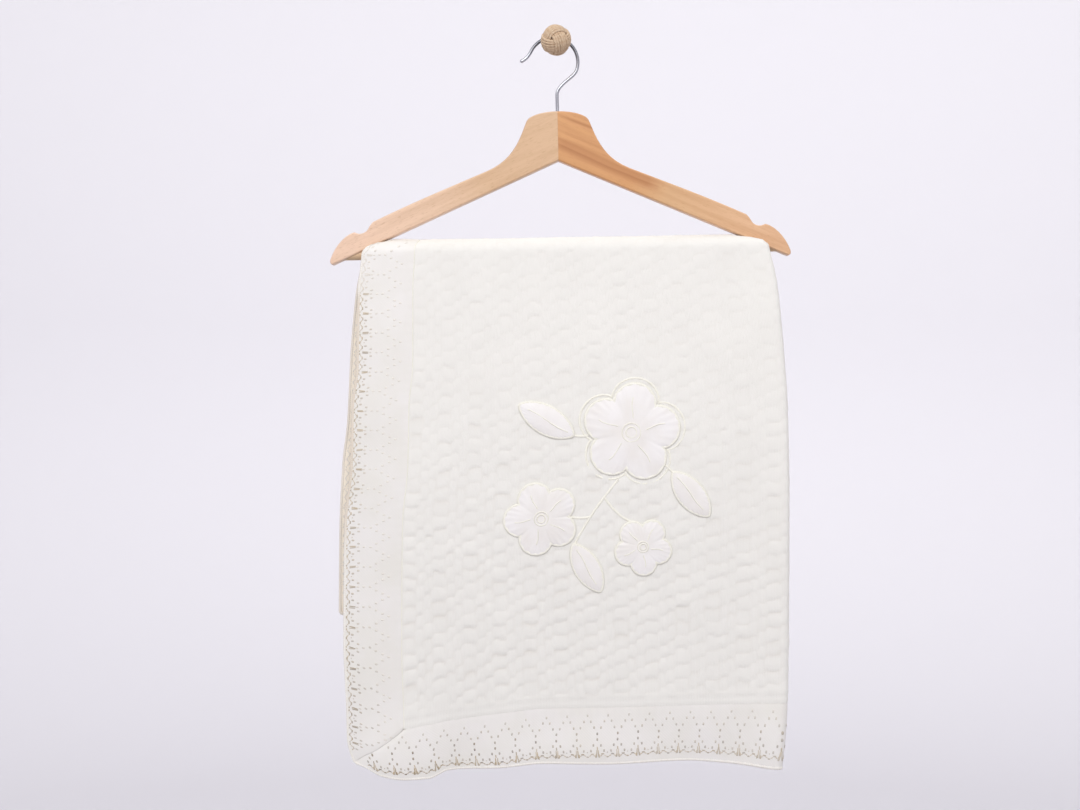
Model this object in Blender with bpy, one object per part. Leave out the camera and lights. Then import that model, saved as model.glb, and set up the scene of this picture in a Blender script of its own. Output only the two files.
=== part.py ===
"""Baby blanket folded over the trouser bar of a wooden hanger, which hangs on a round wall knob.

Everything is in metres, with X to the right, Z up and +Y into the wall.  The origin is the middle of
the knob's flat foot, on the wall.  The blanket is one flat rectangle, folded in half at its right side
and then laid over the bar.  `cloth_middle` carries a place on the flat rectangle to its place in the
air, and every cloth piece is a thin solid grown to both sides of that surface.
"""
import math
from collections import namedtuple

import bmesh
import bpy
import numpy as np
from mathutils import Matrix

# ---------------------------------------------------------------- driving sizes
SEAM = 0.0003                     # room between hard pieces that touch
CLOTH_SEAM = 0.0005               # room between cloth pieces sewn edge to edge

FOOT_RADIUS = 0.0074
FOOT_THICKNESS = 0.004
PEG_RADIUS = 0.0038
BALL_RADIUS = 0.015
BALL_Y = -0.038
BALL_FLAT_RADIUS = 0.005          # flat spot on the ball, where the peg meets it

HANG_Y = -0.020                   # plane of the hook, the arms and the bar
HANGER_LEAN = math.radians(1.2)   # the hanger has swung a little, left arm down
HOOK_REST_Z = 0.006               # top of the wire where it lies over the peg

WIRE_RADIUS = 0.00165
HOOK_RADIUS = 0.024
HOOK_CENTRE = (-0.003, -0.018)
HOOK_TIP = (-0.0355, -0.0171)
SHANK_TOP_Z = -0.050
SHANK_DEPTH = 0.018               # how far the wire goes into the wood

ARM_TOP_Z = -0.0665
ARM_APEX_Z = -0.114               # underside of the joint between the arms
ARM_SLOPE = 0.440                 # fall of the arm's lower edge
ARM_TIP_X = 0.2204
ARM_THICKNESS = 0.0135
ARM_EDGE_ROUND = 0.0015

BAR_RADIUS = 0.00525
BAR_Z = -0.2016
BAR_HALF_LENGTH = 0.212

CLOTH = 0.0026                    # thickness of the knit and of the lined border
PLY_GAP = 0.0010                  # air between the two plies
EDGE_ROOM = 0.0020                # between the inner ply and the flat sides of the arms
WIDTH = 0.852                     # the flat blanket, edge to edge
FRONT_RUN = 0.500                 # from the front hem up to the bar's middle
OVER_RUN = 0.034                  # half round over the bar
BACK_RUN = 0.357                  # from the bar's middle down to the back hem
LENGTH = FRONT_RUN + OVER_RUN + BACK_RUN
FRONT_HEM_Z = -0.701
BACK_HEM_Z = -0.558
BORDER = 0.056                    # width of the satin border
MITRE_ZONE = 0.086                # length over which the strips' rows fan into the mitre

PATCH_GAP = 0.0006
PATCH = 0.0010                    # thickness of a satin patch with its stitching

# ---------------------------------------------------------------- how the cloth hangs
# Edges of the double cloth along its run: below zero down the front, then over the bar, then down
# the back.  `pinch` is how far both edges are pushed in where the arms' undersides meet the bar.
Reach = namedtuple("Reach", "run left right pinch")
REACHES = (
    Reach(-0.500, -0.1960, 0.2170, 0.0),
    Reach(-0.472, -0.2020, 0.2200, 0.0),
    Reach(-0.436, -0.2030, 0.2230, 0.0),
    Reach(-0.373, -0.2058, 0.2240, 0.0),
    Reach(-0.267, -0.2050, 0.2244, 0.0),
    Reach(-0.207, -0.1990, 0.2240, 0.0),
    Reach(-0.148, -0.1975, 0.2225, 0.0),
    Reach(-0.112, -0.1932, 0.2200, 0.0),
    Reach(-0.038, -0.1918, 0.2130, 0.0),
    Reach(0.000, -0.1890, 0.2060, 0.0010),
    Reach(0.005, -0.1890, 0.2055, 0.0050),
    Reach(0.0085, -0.1890, 0.2050, 0.0140),
    Reach(0.0115, -0.1890, 0.2050, 0.0265),
    Reach(0.017, -0.1890, 0.2050, 0.0290),
    Reach(0.0225, -0.1890, 0.2050, 0.0265),
    Reach(0.0255, -0.1890, 0.2050, 0.0140),
    Reach(0.029, -0.1895, 0.2055, 0.0050),
    Reach(0.034, -0.1900, 0.2060, 0.0010),
    Reach(0.074, -0.1962, 0.2110, 0.0),
    Reach(0.125, -0.2008, 0.2150, 0.0),
    Reach(0.199, -0.2045, 0.2180, 0.0),
    Reach(0.239, -0.2090, 0.2180, 0.0),
    Reach(0.306, -0.2120, 0.2170, 0.0),
    Reach(0.391, -0.2128, 0.2160, 0.0),
)
PINCH_ZONE = 0.090                # width next to each edge that the pinch gathers
PINCH_RIGHT = 1.18                # the right arm sits lower over the bar, and pushes in this much more

# How far the front hem and the seam above it hang below their mean line, across the flat cloth.
Droop = namedtuple("Droop", "across hem seam")
DROOPS = (
    Droop(0.000, -0.0030, 0.0060),
    Droop(0.012, 0.0010, 0.0090),
    Droop(0.030, 0.0095, 0.0160),
    Droop(0.052, 0.0126, 0.0195),
    Droop(0.075, 0.0118, 0.0160),
    Droop(0.095, 0.0042, 0.0120),
    Droop(0.145, 0.0020, 0.0050),
    Droop(0.190, -0.0025, 0.0000),
    Droop(0.250, -0.0020, -0.0010),
    Droop(0.330, -0.0050, -0.0030),
    Droop(0.370, -0.0025, -0.0040),
    Droop(0.426, 0.0030, -0.0050),
    Droop(0.470, -0.0015, -0.0040),
    Droop(0.520, -0.0062, -0.0030),
    Droop(0.620, -0.0052, 0.0000),
    Droop(0.852, -0.0052, 0.0000),
)
DROOP_FADE = 0.160                # height above the seam over which the droop dies out
DROOP_END = 0.126                 # the uneven corner reaches this far in from the left

# Soft swells of the hanging plies: middle, half sizes, and how far they stand out from the plane.
Swell = namedtuple("Swell", "x z half_width half_height out")
FRONT_SWELLS = (
    Swell(-0.150, -0.700, 0.034, 0.040, 0.0070),
    Swell(-0.088, -0.705, 0.022, 0.045, -0.0040),
    Swell(0.020, -0.690, 0.080, 0.022, 0.0032),
    Swell(0.140, -0.700, 0.050, 0.028, -0.0030),
    Swell(0.214, -0.690, 0.020, 0.040, 0.0030),
    Swell(0.030, -0.440, 0.170, 0.140, 0.0040),
    Swell(-0.200, -0.480, 0.030, 0.110, -0.0030),
    Swell(-0.120, -0.330, 0.050, 0.090, -0.0015),
    Swell(0.175, -0.340, 0.045, 0.110, 0.0020),
)
BACK_SWELLS = (
    Swell(-0.150, -0.540, 0.060, 0.050, 0.0030),
    Swell(0.010, -0.560, 0.060, 0.040, -0.0040),
    Swell(0.150, -0.540, 0.060, 0.060, 0.0025),
    Swell(0.060, -0.360, 0.120, 0.090, -0.0030),
)
SWELL_START = 0.110               # depth below the bar at which the swells reach full strength
SHORT_STEP = 0.0002               # for measuring which way the cloth faces

# The fold at the right: its radius beside the bar and lower down, and how far its fullness reaches.
FOLD_RADIUS_AT_BAR = 0.5 * (CLOTH + PLY_GAP)
FOLD_RADIUS = 0.0042
FOLD_FULL_DEPTH = 0.070
FOLD_REACH = 0.036
FOLD_STEP = 0.6                   # each line of the solids is this much nearer the fold than the last
NEAR_BAR = 0.080                  # length on each side of the bar where the lines draw together

# Room between the bar and the inner ply on top of the bar, at the two ends of the crest.
CREST_ROOM_LEFT = 0.0024
CREST_ROOM_RIGHT = 0.0006

# Appliqué patches on the front: middle on the flat cloth, size, turn, and kind.
Patch = namedtuple("Patch", "name kind across along length breadth turn")
PATCHES = (
    Patch("patch_flower_large", "flower", 0.272, 0.322, 0.094, 0.094, 10.0),
    Patch("patch_flower_middle", "flower", 0.188, 0.240, 0.070, 0.070, 40.0),
    Patch("patch_flower_small", "flower", 0.285, 0.212, 0.054, 0.054, -15.0),
    Patch("patch_leaf_upper", "leaf", 0.190, 0.335, 0.060, 0.026, 150.0),
    Patch("patch_leaf_right", "leaf", 0.330, 0.262, 0.054, 0.024, -50.0),
    Patch("patch_leaf_lower", "leaf", 0.232, 0.192, 0.052, 0.023, -60.0),
)
PETALS = 5
PETAL_DIP = 0.30                  # how deep the outline dips between petals

# ---------------------------------------------------------------- colours: base, roughness, metallic
KNIT = ((0.83, 0.80, 0.75), 0.90, 0.0)
SATIN = ((0.82, 0.79, 0.76), 0.55, 0.0)
PATCH_SATIN = ((0.87, 0.85, 0.84), 0.50, 0.0)
BEECH_PALE = ((0.82, 0.55, 0.35), 0.45, 0.0)
BEECH_RED = ((0.72, 0.40, 0.20), 0.45, 0.0)
ZINC = ((0.60, 0.60, 0.62), 0.28, 1.0)
TWINE = ((0.51, 0.38, 0.27), 0.95, 0.0)
TURNED_WOOD = ((0.60, 0.45, 0.30), 0.60, 0.0)


# ---------------------------------------------------------------- small tools
def finish(name, look):
    """A plain material of one base colour, roughness and metallic value."""
    colour, roughness, metallic = look
    material = bpy.data.materials.new(name)
    material.use_nodes = True
    shader = material.node_tree.nodes["Principled BSDF"]
    shader.inputs["Base Color"].default_value = (*colour, 1.0)
    shader.inputs["Roughness"].default_value = roughness
    shader.inputs["Metallic"].default_value = metallic
    return material


def put_in_scene(name, data, material):
    """A new object with this data and material, standing in the scene."""
    data.materials.append(material)
    thing = bpy.data.objects.new(name, data)
    bpy.context.collection.objects.link(thing)
    return thing


def mesh_from(name, points, faces, smooth=True):
    """A mesh of these points and faces, with every face turned outwards."""
    mesh = bpy.data.meshes.new(name)
    mesh.from_pydata([tuple(point) for point in points], [], [tuple(face) for face in faces])
    shape = bmesh.new()
    shape.from_mesh(mesh)
    bmesh.ops.recalc_face_normals(shape, faces=shape.faces)
    shape.to_mesh(mesh)
    shape.free()
    if smooth:
        mesh.shade_smooth()
        mesh.set_sharp_from_angle(angle=math.radians(40))
    return mesh


def through(rows, column, places):
    """A smooth curve through one column of a table, read at `places`, with no overshoot.

    Each row's slope is the harmonic mean of the slopes on its two sides, or nought at a turn.
    """
    at = np.array([row[0] for row in rows])
    value = np.array([getattr(row, column) for row in rows])
    side = np.diff(value) / np.diff(at)
    product = side[:-1] * side[1:]
    total = np.where(np.abs(side[:-1] + side[1:]) < 1e-12, 1.0, side[:-1] + side[1:])
    slope = np.concatenate(([side[0]], np.where(product > 0, 2 * product / total, 0.0), [side[-1]]))
    left = np.clip(np.searchsorted(at, places) - 1, 0, len(at) - 2)
    span = at[left + 1] - at[left]
    t = np.clip((places - at[left]) / span, 0.0, 1.0)
    return (value[left] * (1 + 2 * t) * (1 - t) ** 2 + value[left + 1] * t * t * (3 - 2 * t)
            + slope[left] * span * t * (1 - t) ** 2 - slope[left + 1] * span * t * t * (1 - t))


def ease(t):
    """Nought to one, with level ends."""
    t = np.clip(t, 0.0, 1.0)
    return t * t * (3 - 2 * t)


# ---------------------------------------------------------------- the cloth's surface
def bar_height(x):
    """Height of the bar's middle line at x, on the leaning hanger."""
    drop = BAR_Z - HOOK_REST_Z
    middle_x = -drop * math.sin(HANGER_LEAN)
    middle_z = HOOK_REST_Z + drop * math.cos(HANGER_LEAN)
    return middle_z + (x - middle_x) * math.tan(HANGER_LEAN)


def swelling(swells, x, z):
    """Sum of the soft swells at a place on a hanging ply."""
    total = np.zeros_like(x)
    for swell in swells:
        away = ((x - swell.x) / swell.half_width) ** 2 + ((z - swell.z) / swell.half_height) ** 2
        total += swell.out * np.exp(-away)
    return total


def cloth_middle(across, along):
    """Where a place on the flat cloth lies in the air, on the cloth's middle surface.

    `across` runs from the outer left edge, round the fold at the right, to the inner left edge.
    `along` runs from the front hem, over the bar, to the back hem.
    """
    across, along = np.broadcast_arrays(np.asarray(across, float), np.asarray(along, float))
    run = along - FRONT_RUN
    depth = np.where(run < 0, -run, np.maximum(run - OVER_RUN, 0.0))

    # Across: a full round fold at the right, and evenly spread from there to the left edge.
    radius = FOLD_RADIUS_AT_BAR + (FOLD_RADIUS - FOLD_RADIUS_AT_BAR) * ease(depth / FOLD_FULL_DEPTH)
    from_fold = np.abs(WIDTH / 2 - across)
    quarter = radius * math.pi / 2
    turn = np.minimum(from_fold / radius, math.pi / 2)
    calm = 1 - ease((from_fold - quarter) / (FOLD_REACH - quarter))
    flat_offset = FOLD_RADIUS_AT_BAR + (radius - FOLD_RADIUS_AT_BAR) * calm
    offset = np.where(from_fold < quarter, radius * np.sin(turn), flat_offset)
    offset *= np.where(across < WIDTH / 2, 1.0, -1.0)
    left = through(REACHES, "left", run)
    right = through(REACHES, "right", run)
    share = np.clip((from_fold - quarter) / (WIDTH / 2 - quarter), 0.0, 1.0)
    in_fold = right - radius * (1 - np.cos(turn))
    beyond = right - radius + (left - right + radius) * share
    x = np.where(from_fold < quarter, in_fold, beyond)

    # The arms push both edges in, and the gather fades out over the pinch zone.
    pinch = through(REACHES, "pinch", run)
    x = (x + pinch * np.clip((left + PINCH_ZONE - x) / PINCH_ZONE, 0.0, 1.0) ** 2
         - PINCH_RIGHT * pinch * np.clip((x - right + PINCH_ZONE) / PINCH_ZONE, 0.0, 1.0) ** 2)

    # Along: straight down the front, half round over the bar, straight down the back.
    middle = bar_height(x)
    round_y = ARM_THICKNESS / 2 + EDGE_ROOM + CLOTH + PLY_GAP / 2
    tilt = np.clip((x - REACHES[0].left) / (REACHES[0].right - REACHES[0].left), 0.0, 1.0)
    room = CREST_ROOM_LEFT + (CREST_ROOM_RIGHT - CREST_ROOM_LEFT) * tilt
    round_z = BAR_RADIUS + room + CLOTH + PLY_GAP / 2
    angle = np.clip(run / OVER_RUN, 0.0, 1.0) * math.pi
    out_y = -np.cos(angle)
    out_z = np.sin(angle)
    front_share = np.clip(-run / FRONT_RUN, 0.0, None)
    back_share = np.clip((run - OVER_RUN) / BACK_RUN, 0.0, None)
    z = middle + round_z * out_z
    z = z + (FRONT_HEM_Z - middle) * front_share + (BACK_HEM_Z - middle) * back_share
    y = HANG_Y + round_y * out_y

    # The hem and the seam above it droop unevenly.
    hem = through(DROOPS, "hem", across)
    seam = through(DROOPS, "seam", across)
    near_hem = np.clip(along / BORDER, 0.0, 1.0)
    droop = hem + (seam - hem) * near_hem
    z = z - droop * (1 - ease((along - BORDER) / DROOP_FADE))

    # Soft swells, and the ply's own offset along the outward direction.
    strength = ease(depth / SWELL_START)
    y = y - np.where(run < 0, swelling(FRONT_SWELLS, x, z), 0.0) * strength
    y = y + np.where(run > OVER_RUN, swelling(BACK_SWELLS, x, z), 0.0) * strength
    steep = np.hypot(out_y / round_y, out_z / round_z)
    y = y + offset * out_y / round_y / steep
    z = z + offset * out_z / round_z / steep
    return np.stack([x, y, z], axis=-1)


def cloth_normal(across, along):
    """Unit direction out of the cloth's right side, from two short steps along the surface."""
    inside = np.clip(across, SHORT_STEP, WIDTH - SHORT_STEP)
    up = np.clip(along, SHORT_STEP, LENGTH - SHORT_STEP)
    east = cloth_middle(inside + SHORT_STEP, up) - cloth_middle(inside - SHORT_STEP, up)
    north = cloth_middle(inside, up + SHORT_STEP) - cloth_middle(inside, up - SHORT_STEP)
    normal = np.cross(east, north)
    return normal / np.linalg.norm(normal, axis=-1, keepdims=True)


def sheet_solid(name, across, along, low, high):
    """A closed solid between two offsets of the cloth's middle surface, over a grid of places."""
    middle = cloth_middle(across, along)
    normal = cloth_normal(across, along)
    rows, columns = across.shape
    count = rows * columns
    points = np.concatenate([(middle + high * normal).reshape(-1, 3),
                             (middle + low * normal).reshape(-1, 3)])
    index = np.arange(count).reshape(rows, columns)
    quads = np.stack([index[:-1, :-1], index[:-1, 1:], index[1:, 1:], index[1:, :-1]], axis=-1)
    quads = quads.reshape(-1, 4)
    rim = np.concatenate([index[0, :-1], index[:-1, -1], index[-1, :0:-1], index[:0:-1, 0]])
    after = np.roll(rim, -1)
    walls = np.stack([rim, rim + count, after + count, after], axis=-1)
    faces = np.concatenate([quads, quads[:, ::-1] + count, walls])
    return mesh_from(name, points, faces.tolist())


# ---------------------------------------------------------------- the blanket's pieces
def across_lines():
    """Places across the panel: close at the drooping corner and round the fold, wide elsewhere."""
    half = WIDTH / 2
    corner = np.linspace(BORDER, MITRE_ZONE, 4)[:-1]
    droop = np.linspace(MITRE_ZONE, DROOP_END, 3)[:-1]
    plain = np.linspace(DROOP_END, half - 2 * FOLD_REACH, 7)
    fold = FOLD_REACH * FOLD_STEP ** np.arange(7)
    outer = np.concatenate([corner, droop, plain, half - fold])
    return np.concatenate([outer, [half], WIDTH - outer[::-1]])


def along_lines():
    """Places along the panel: close over the bar, wide where the cloth hangs straight."""
    near = NEAR_BAR * 0.5 ** np.arange(4)
    front = np.linspace(MITRE_ZONE, FRONT_RUN - NEAR_BAR, 9)[:-1]
    over = FRONT_RUN + np.linspace(0.0, OVER_RUN, 11)
    back = np.linspace(FRONT_RUN + OVER_RUN + NEAR_BAR, LENGTH - MITRE_ZONE, 6)[1:]
    return np.concatenate([[BORDER], front, FRONT_RUN - near, over, FRONT_RUN + OVER_RUN + near[::-1],
                           back, [LENGTH - BORDER]])


def into_mitre(places, inset, total):
    """Rows of a border strip at a distance `inset` from its outer edge.

    Away from the ends they are the panel's own rows.  In the last stretch they fan out to the mitre,
    which stands at 45 degrees.
    """
    trim = CLOTH_SEAM / math.sqrt(2)
    start = inset + trim
    low = start + (MITRE_ZONE - start) * (places - BORDER) / (MITRE_ZONE - BORDER)
    high = total - start - (MITRE_ZONE - start) * (total - BORDER - places) / (MITRE_ZONE - BORDER)
    return np.where(places < MITRE_ZONE, low, np.where(places > total - MITRE_ZONE, high, places))


def build_panel(material):
    """The knit panel, butted to its border all round."""
    across = across_lines()
    along = along_lines()
    across[0] += CLOTH_SEAM / 2
    across[-1] -= CLOTH_SEAM / 2
    along[0] += CLOTH_SEAM / 2
    along[-1] -= CLOTH_SEAM / 2
    grid = np.meshgrid(across, along)
    put_in_scene("panel", sheet_solid("panel", *grid, -CLOTH / 2, CLOTH / 2), material)


def build_border(material):
    """Four satin strips: two down the lengths, at the left, and two across the ends."""
    insets = np.array([0.0, 0.018, 0.037, BORDER - CLOTH_SEAM / 2])
    for name, mirrored in (("border_outer_side", False), ("border_inner_side", True)):
        inset, place = np.meshgrid(insets, along_lines())
        along = into_mitre(place, inset, LENGTH)
        across = WIDTH - inset if mirrored else inset
        put_in_scene(name, sheet_solid(name, across, along, -CLOTH / 2, CLOTH / 2), material)
    for name, mirrored in (("border_front_hem", False), ("border_back_hem", True)):
        inset, place = np.meshgrid(insets, across_lines())
        across = into_mitre(place, inset, WIDTH)
        along = LENGTH - inset if mirrored else inset
        put_in_scene(name, sheet_solid(name, across, along, -CLOTH / 2, CLOTH / 2), material)


def patch_outline(patch, angles):
    """Outline of a patch about its own middle: a five-petalled flower or a pointed leaf."""
    if patch.kind == "flower":
        petal = np.abs(np.cos(angles * PETALS / 2)) ** 0.7
        reach = 1 - PETAL_DIP * (1 - petal)
        return patch.length / 2 * reach * np.cos(angles), patch.breadth / 2 * reach * np.sin(angles)
    slim = np.sin(angles) * np.abs(np.sin(angles)) ** 0.5
    return patch.length / 2 * np.cos(angles), patch.breadth / 2 * slim


def build_patches(material):
    """Satin patches on the panel's front, each a thin plate that follows the cloth."""
    for patch in PATCHES:
        sectors = 6 * PETALS if patch.kind == "flower" else 16
        angles = np.arange(sectors) * 2 * math.pi / sectors
        x, z = patch_outline(patch, angles)
        turn = math.radians(patch.turn)
        rings = np.array([0.5, 1.0])[:, None]
        across = patch.across + rings * (x * math.cos(turn) - z * math.sin(turn))
        along = patch.along + rings * (x * math.sin(turn) + z * math.cos(turn))
        across = np.append(across.ravel(), patch.across)
        along = np.append(along.ravel(), patch.along)
        middle = cloth_middle(across, along)
        normal = cloth_normal(across, along)
        low = CLOTH / 2 + PATCH_GAP
        points = np.concatenate([middle + (low + PATCH) * normal, middle + low * normal])
        count = len(across)
        this = np.arange(sectors)
        after = np.roll(this, -1)
        fan = [(count - 1, a, b) for a, b in zip(this, after)]
        ring = [(a, a + sectors, b + sectors, b) for a, b in zip(this, after)]
        top = fan + ring
        bottom = [tuple(corner + count for corner in reversed(face)) for face in top]
        wall = [(a + sectors, a + sectors + count, b + sectors + count, b + sectors)
                for a, b in zip(this, after)]
        put_in_scene(patch.name, mesh_from(patch.name, points, top + bottom + wall), material)


# ---------------------------------------------------------------- the hanger
def lean(thing):
    """Swing a piece of the hanger about the place where the hook lies on the peg."""
    rest = Matrix.Translation((0.0, 0.0, HOOK_REST_Z))
    thing.matrix_world = rest @ Matrix.Rotation(-HANGER_LEAN, 4, "Y") @ rest.inverted()


def bezier(start, first, second, end, count):
    """Points of one cubic curve, without its last point."""
    t = np.linspace(0.0, 1.0, count, endpoint=False)[:, None]
    start, first, second, end = (np.array(point, float) for point in (start, first, second, end))
    return (start * (1 - t) ** 3 + 3 * first * t * (1 - t) ** 2
            + 3 * second * t * t * (1 - t) + end * t ** 3)


def arm_outline():
    """Right arm from the front, (x, z), clockwise from the middle of the head's top."""
    joint = SEAM / 2
    tip_z = ARM_APEX_Z - ARM_SLOPE * ARM_TIP_X
    parts = [
        bezier((joint, ARM_TOP_Z), (0.012, ARM_TOP_Z), (0.022, -0.0690), (0.0270, -0.0722), 6),
        bezier((0.0270, -0.0722), (0.0300, -0.0742), (0.0305, -0.0762), (0.0322, -0.0805), 4),
        bezier((0.0322, -0.0805), (0.0385, -0.0965), (0.0460, -0.1135), (0.0690, -0.1230), 10),
        bezier((0.0690, -0.1230), (0.1050, -0.1375), (0.1440, -0.1530), (0.1815, -0.1704), 6),
        bezier((0.1815, -0.1704), (0.1850, -0.1735), (0.1858, -0.1772), (0.1880, -0.1793), 4),
        bezier((0.1880, -0.1793), (0.1920, -0.1822), (0.1965, -0.1822), (0.1995, -0.1798), 5),
        bezier((0.1995, -0.1798), (0.2105, -0.1830), (0.2195, -0.1945), (0.2236, -0.2062), 7),
        bezier((0.2236, -0.2062), (0.2246, -0.2095), (0.2226, -0.2118), (ARM_TIP_X, tip_z), 4),
        np.array([(ARM_TIP_X, tip_z), (joint, ARM_APEX_Z)]),
    ]
    return np.concatenate(parts)


def build_arm(name, side, material, cutters):
    """One arm: the flat outline, as thick as the board, with eased edges, bored for hook and bar."""
    outline = arm_outline() * (side, 1.0)
    count = len(outline)
    front = np.column_stack([outline[:, 0], np.full(count, HANG_Y - ARM_THICKNESS / 2), outline[:, 1]])
    back = front + (0.0, ARM_THICKNESS, 0.0)
    this = np.arange(count)
    after = np.roll(this, -1)
    faces = [tuple(this), tuple(this[::-1] + count)]
    faces += [(a, a + count, b + count, b) for a, b in zip(this, after)]
    arm = put_in_scene(name, mesh_from(name, np.concatenate([front, back]), faces), material)
    edge = arm.modifiers.new("eased edges", "BEVEL")
    edge.width = ARM_EDGE_ROUND
    edge.segments = 2
    edge.limit_method = "ANGLE"
    edge.angle_limit = math.radians(50)
    for cutter in cutters:
        bore = arm.modifiers.new("bore", "BOOLEAN")
        bore.operation = "DIFFERENCE"
        bore.solver = "EXACT"
        bore.object = cutter
    lean(arm)


def rod(name, radius, start, end, sides, material):
    """A straight round bar between two places."""
    start, end = np.array(start), np.array(end)
    axis = (end - start) / np.linalg.norm(end - start)
    side = np.cross(axis, (0.0, 1.0, 0.0))
    front = np.cross(axis, side)
    angles = np.arange(sides) * 2 * math.pi / sides
    ring = radius * (np.cos(angles)[:, None] * side + np.sin(angles)[:, None] * front)
    this = np.arange(sides)
    after = np.roll(this, -1)
    faces = [tuple(this), tuple(this[::-1] + sides)]
    faces += [(a, a + sides, b + sides, b) for a, b in zip(this, after)]
    return put_in_scene(name, mesh_from(name, np.concatenate([start + ring, end + ring]), faces), material)


def cutter(name, radius, start, end, sides, material):
    """A rod that only cuts: it isn't part of the model."""
    tool = rod(name, radius, start, end, sides, material)
    tool.hide_render = True
    tool.display_type = "WIRE"
    lean(tool)
    return tool


def build_hanger(pale, red, zinc):
    """Two beech arms, the trouser bar let into them, and the wire hook in the joint on top."""
    bar_y = HANG_Y
    shank_end = ARM_TOP_Z - SHANK_DEPTH
    bar_cut = cutter("cut_bar", BAR_RADIUS + SEAM, (-BAR_HALF_LENGTH - SEAM, bar_y, BAR_Z),
                     (BAR_HALF_LENGTH + SEAM, bar_y, BAR_Z), 24, pale)
    hook_cut = cutter("cut_hook", WIRE_RADIUS + SEAM, (0.0, HANG_Y, shank_end - SEAM),
                      (0.0, HANG_Y, ARM_TOP_Z + 0.010), 12, pale)
    build_arm("arm_left", -1.0, pale, (bar_cut, hook_cut))
    build_arm("arm_right", 1.0, red, (bar_cut, hook_cut))
    lean(rod("trouser_bar", BAR_RADIUS, (-BAR_HALF_LENGTH, bar_y, BAR_Z),
             (BAR_HALF_LENGTH, bar_y, BAR_Z), 24, pale))
    build_hook(zinc, shank_end)


def build_hook(material, shank_end):
    """The wire: a flared tip, most of a circle over the peg, and a bent neck down to the shank."""
    def on_circle(degrees):
        turn = math.radians(degrees)
        return (HOOK_CENTRE[0] + HOOK_RADIUS * math.cos(turn), HOOK_CENTRE[1] + HOOK_RADIUS * math.sin(turn))

    lead, leave = 150.0, -22.0
    start = on_circle(lead)
    out = on_circle(leave)
    flare = bezier(HOOK_TIP, (-0.0290, -0.0150), (-0.0263, -0.0105), start, 7)
    circle = np.array([on_circle(degrees) for degrees in np.linspace(lead, leave, 30)[:-1]])
    neck = bezier(out, (0.0165, -0.0335), (0.0, -0.0400), (0.0, SHANK_TOP_Z), 12)
    shank = np.array([(0.0, SHANK_TOP_Z), (0.0, ARM_TOP_Z + 0.002), (0.0, shank_end)])
    route = np.concatenate([flare, circle, neck, shank])
    curve = bpy.data.curves.new("hook", "CURVE")
    curve.dimensions = "3D"
    curve.bevel_depth = WIRE_RADIUS
    curve.bevel_resolution = 4
    curve.use_fill_caps = True
    spline = curve.splines.new("POLY")
    spline.points.add(len(route) - 1)
    for point, (x, z) in zip(spline.points, route):
        point.co = (x, HANG_Y, z, 1.0)
    lean(put_in_scene("hook", curve, material))


# ---------------------------------------------------------------- the wall knob
def turned(name, profile, sides, material):
    """A solid turned about the Y axis from (radius, y) pairs that start and end on the axis."""
    angles = np.arange(sides) * 2 * math.pi / sides
    points = [(0.0, profile[0][1], 0.0)]
    for radius, y in profile[1:-1]:
        points += [(radius * math.cos(angle), y, radius * math.sin(angle)) for angle in angles]
    points.append((0.0, profile[-1][1], 0.0))
    last = len(points) - 1
    faces = []
    for side in range(sides):
        after = (side + 1) % sides
        faces.append((0, 1 + side, 1 + after))
        for ring in range(len(profile) - 3):
            low, high = 1 + ring * sides, 1 + (ring + 1) * sides
            faces.append((low + side, high + side, high + after, low + after))
        faces.append((last, last - sides + after, last - sides + side))
    return put_in_scene(name, mesh_from(name, points, faces), material)


def build_knob(wood, twine):
    """A peg with a round foot on the wall, and the wrapped ball on its end."""
    flat_y = BALL_Y + math.sqrt(BALL_RADIUS ** 2 - BALL_FLAT_RADIUS ** 2)
    ease_size = 0.001
    turned("knob_peg", [
        (0.0, 0.0), (FOOT_RADIUS, 0.0), (FOOT_RADIUS, -FOOT_THICKNESS + ease_size),
        (FOOT_RADIUS - ease_size, -FOOT_THICKNESS), (PEG_RADIUS, -FOOT_THICKNESS),
        (PEG_RADIUS, flat_y + SEAM), (0.0, flat_y + SEAM),
    ], 32, wood)
    first = math.asin(BALL_FLAT_RADIUS / BALL_RADIUS)
    arc = np.linspace(first, math.pi - 0.18, 13)
    ball = [(BALL_RADIUS * math.sin(turn), BALL_Y + BALL_RADIUS * math.cos(turn)) for turn in arc]
    turned("knob_ball", [(0.0, flat_y)] + ball + [(0.0, BALL_Y - BALL_RADIUS)], 28, twine)


# ---------------------------------------------------------------- build
def main():
    for thing in list(bpy.data.objects):
        bpy.data.objects.remove(thing, do_unlink=True)
    build_panel(finish("puffy knit", KNIT))
    build_border(finish("border satin", SATIN))
    build_patches(finish("patch satin", PATCH_SATIN))
    build_hanger(finish("pale beech", BEECH_PALE), finish("red beech", BEECH_RED), finish("zinc wire", ZINC))
    build_knob(finish("turned wood", TURNED_WOOD), finish("twine", TWINE))


main()
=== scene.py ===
"""Looks of a baby blanket that hangs, folded in half, over the trouser bar of a wooden hanger.

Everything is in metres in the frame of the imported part: X to the right, Z up, +Y into the wall, and the
origin in the middle of the knob's foot.  The sections follow the order in which the thing is put
together: wall knob, hook, hanger, blanket, border, edging, appliqué, and last the studio.
"""
import math
from collections import namedtuple

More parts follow.
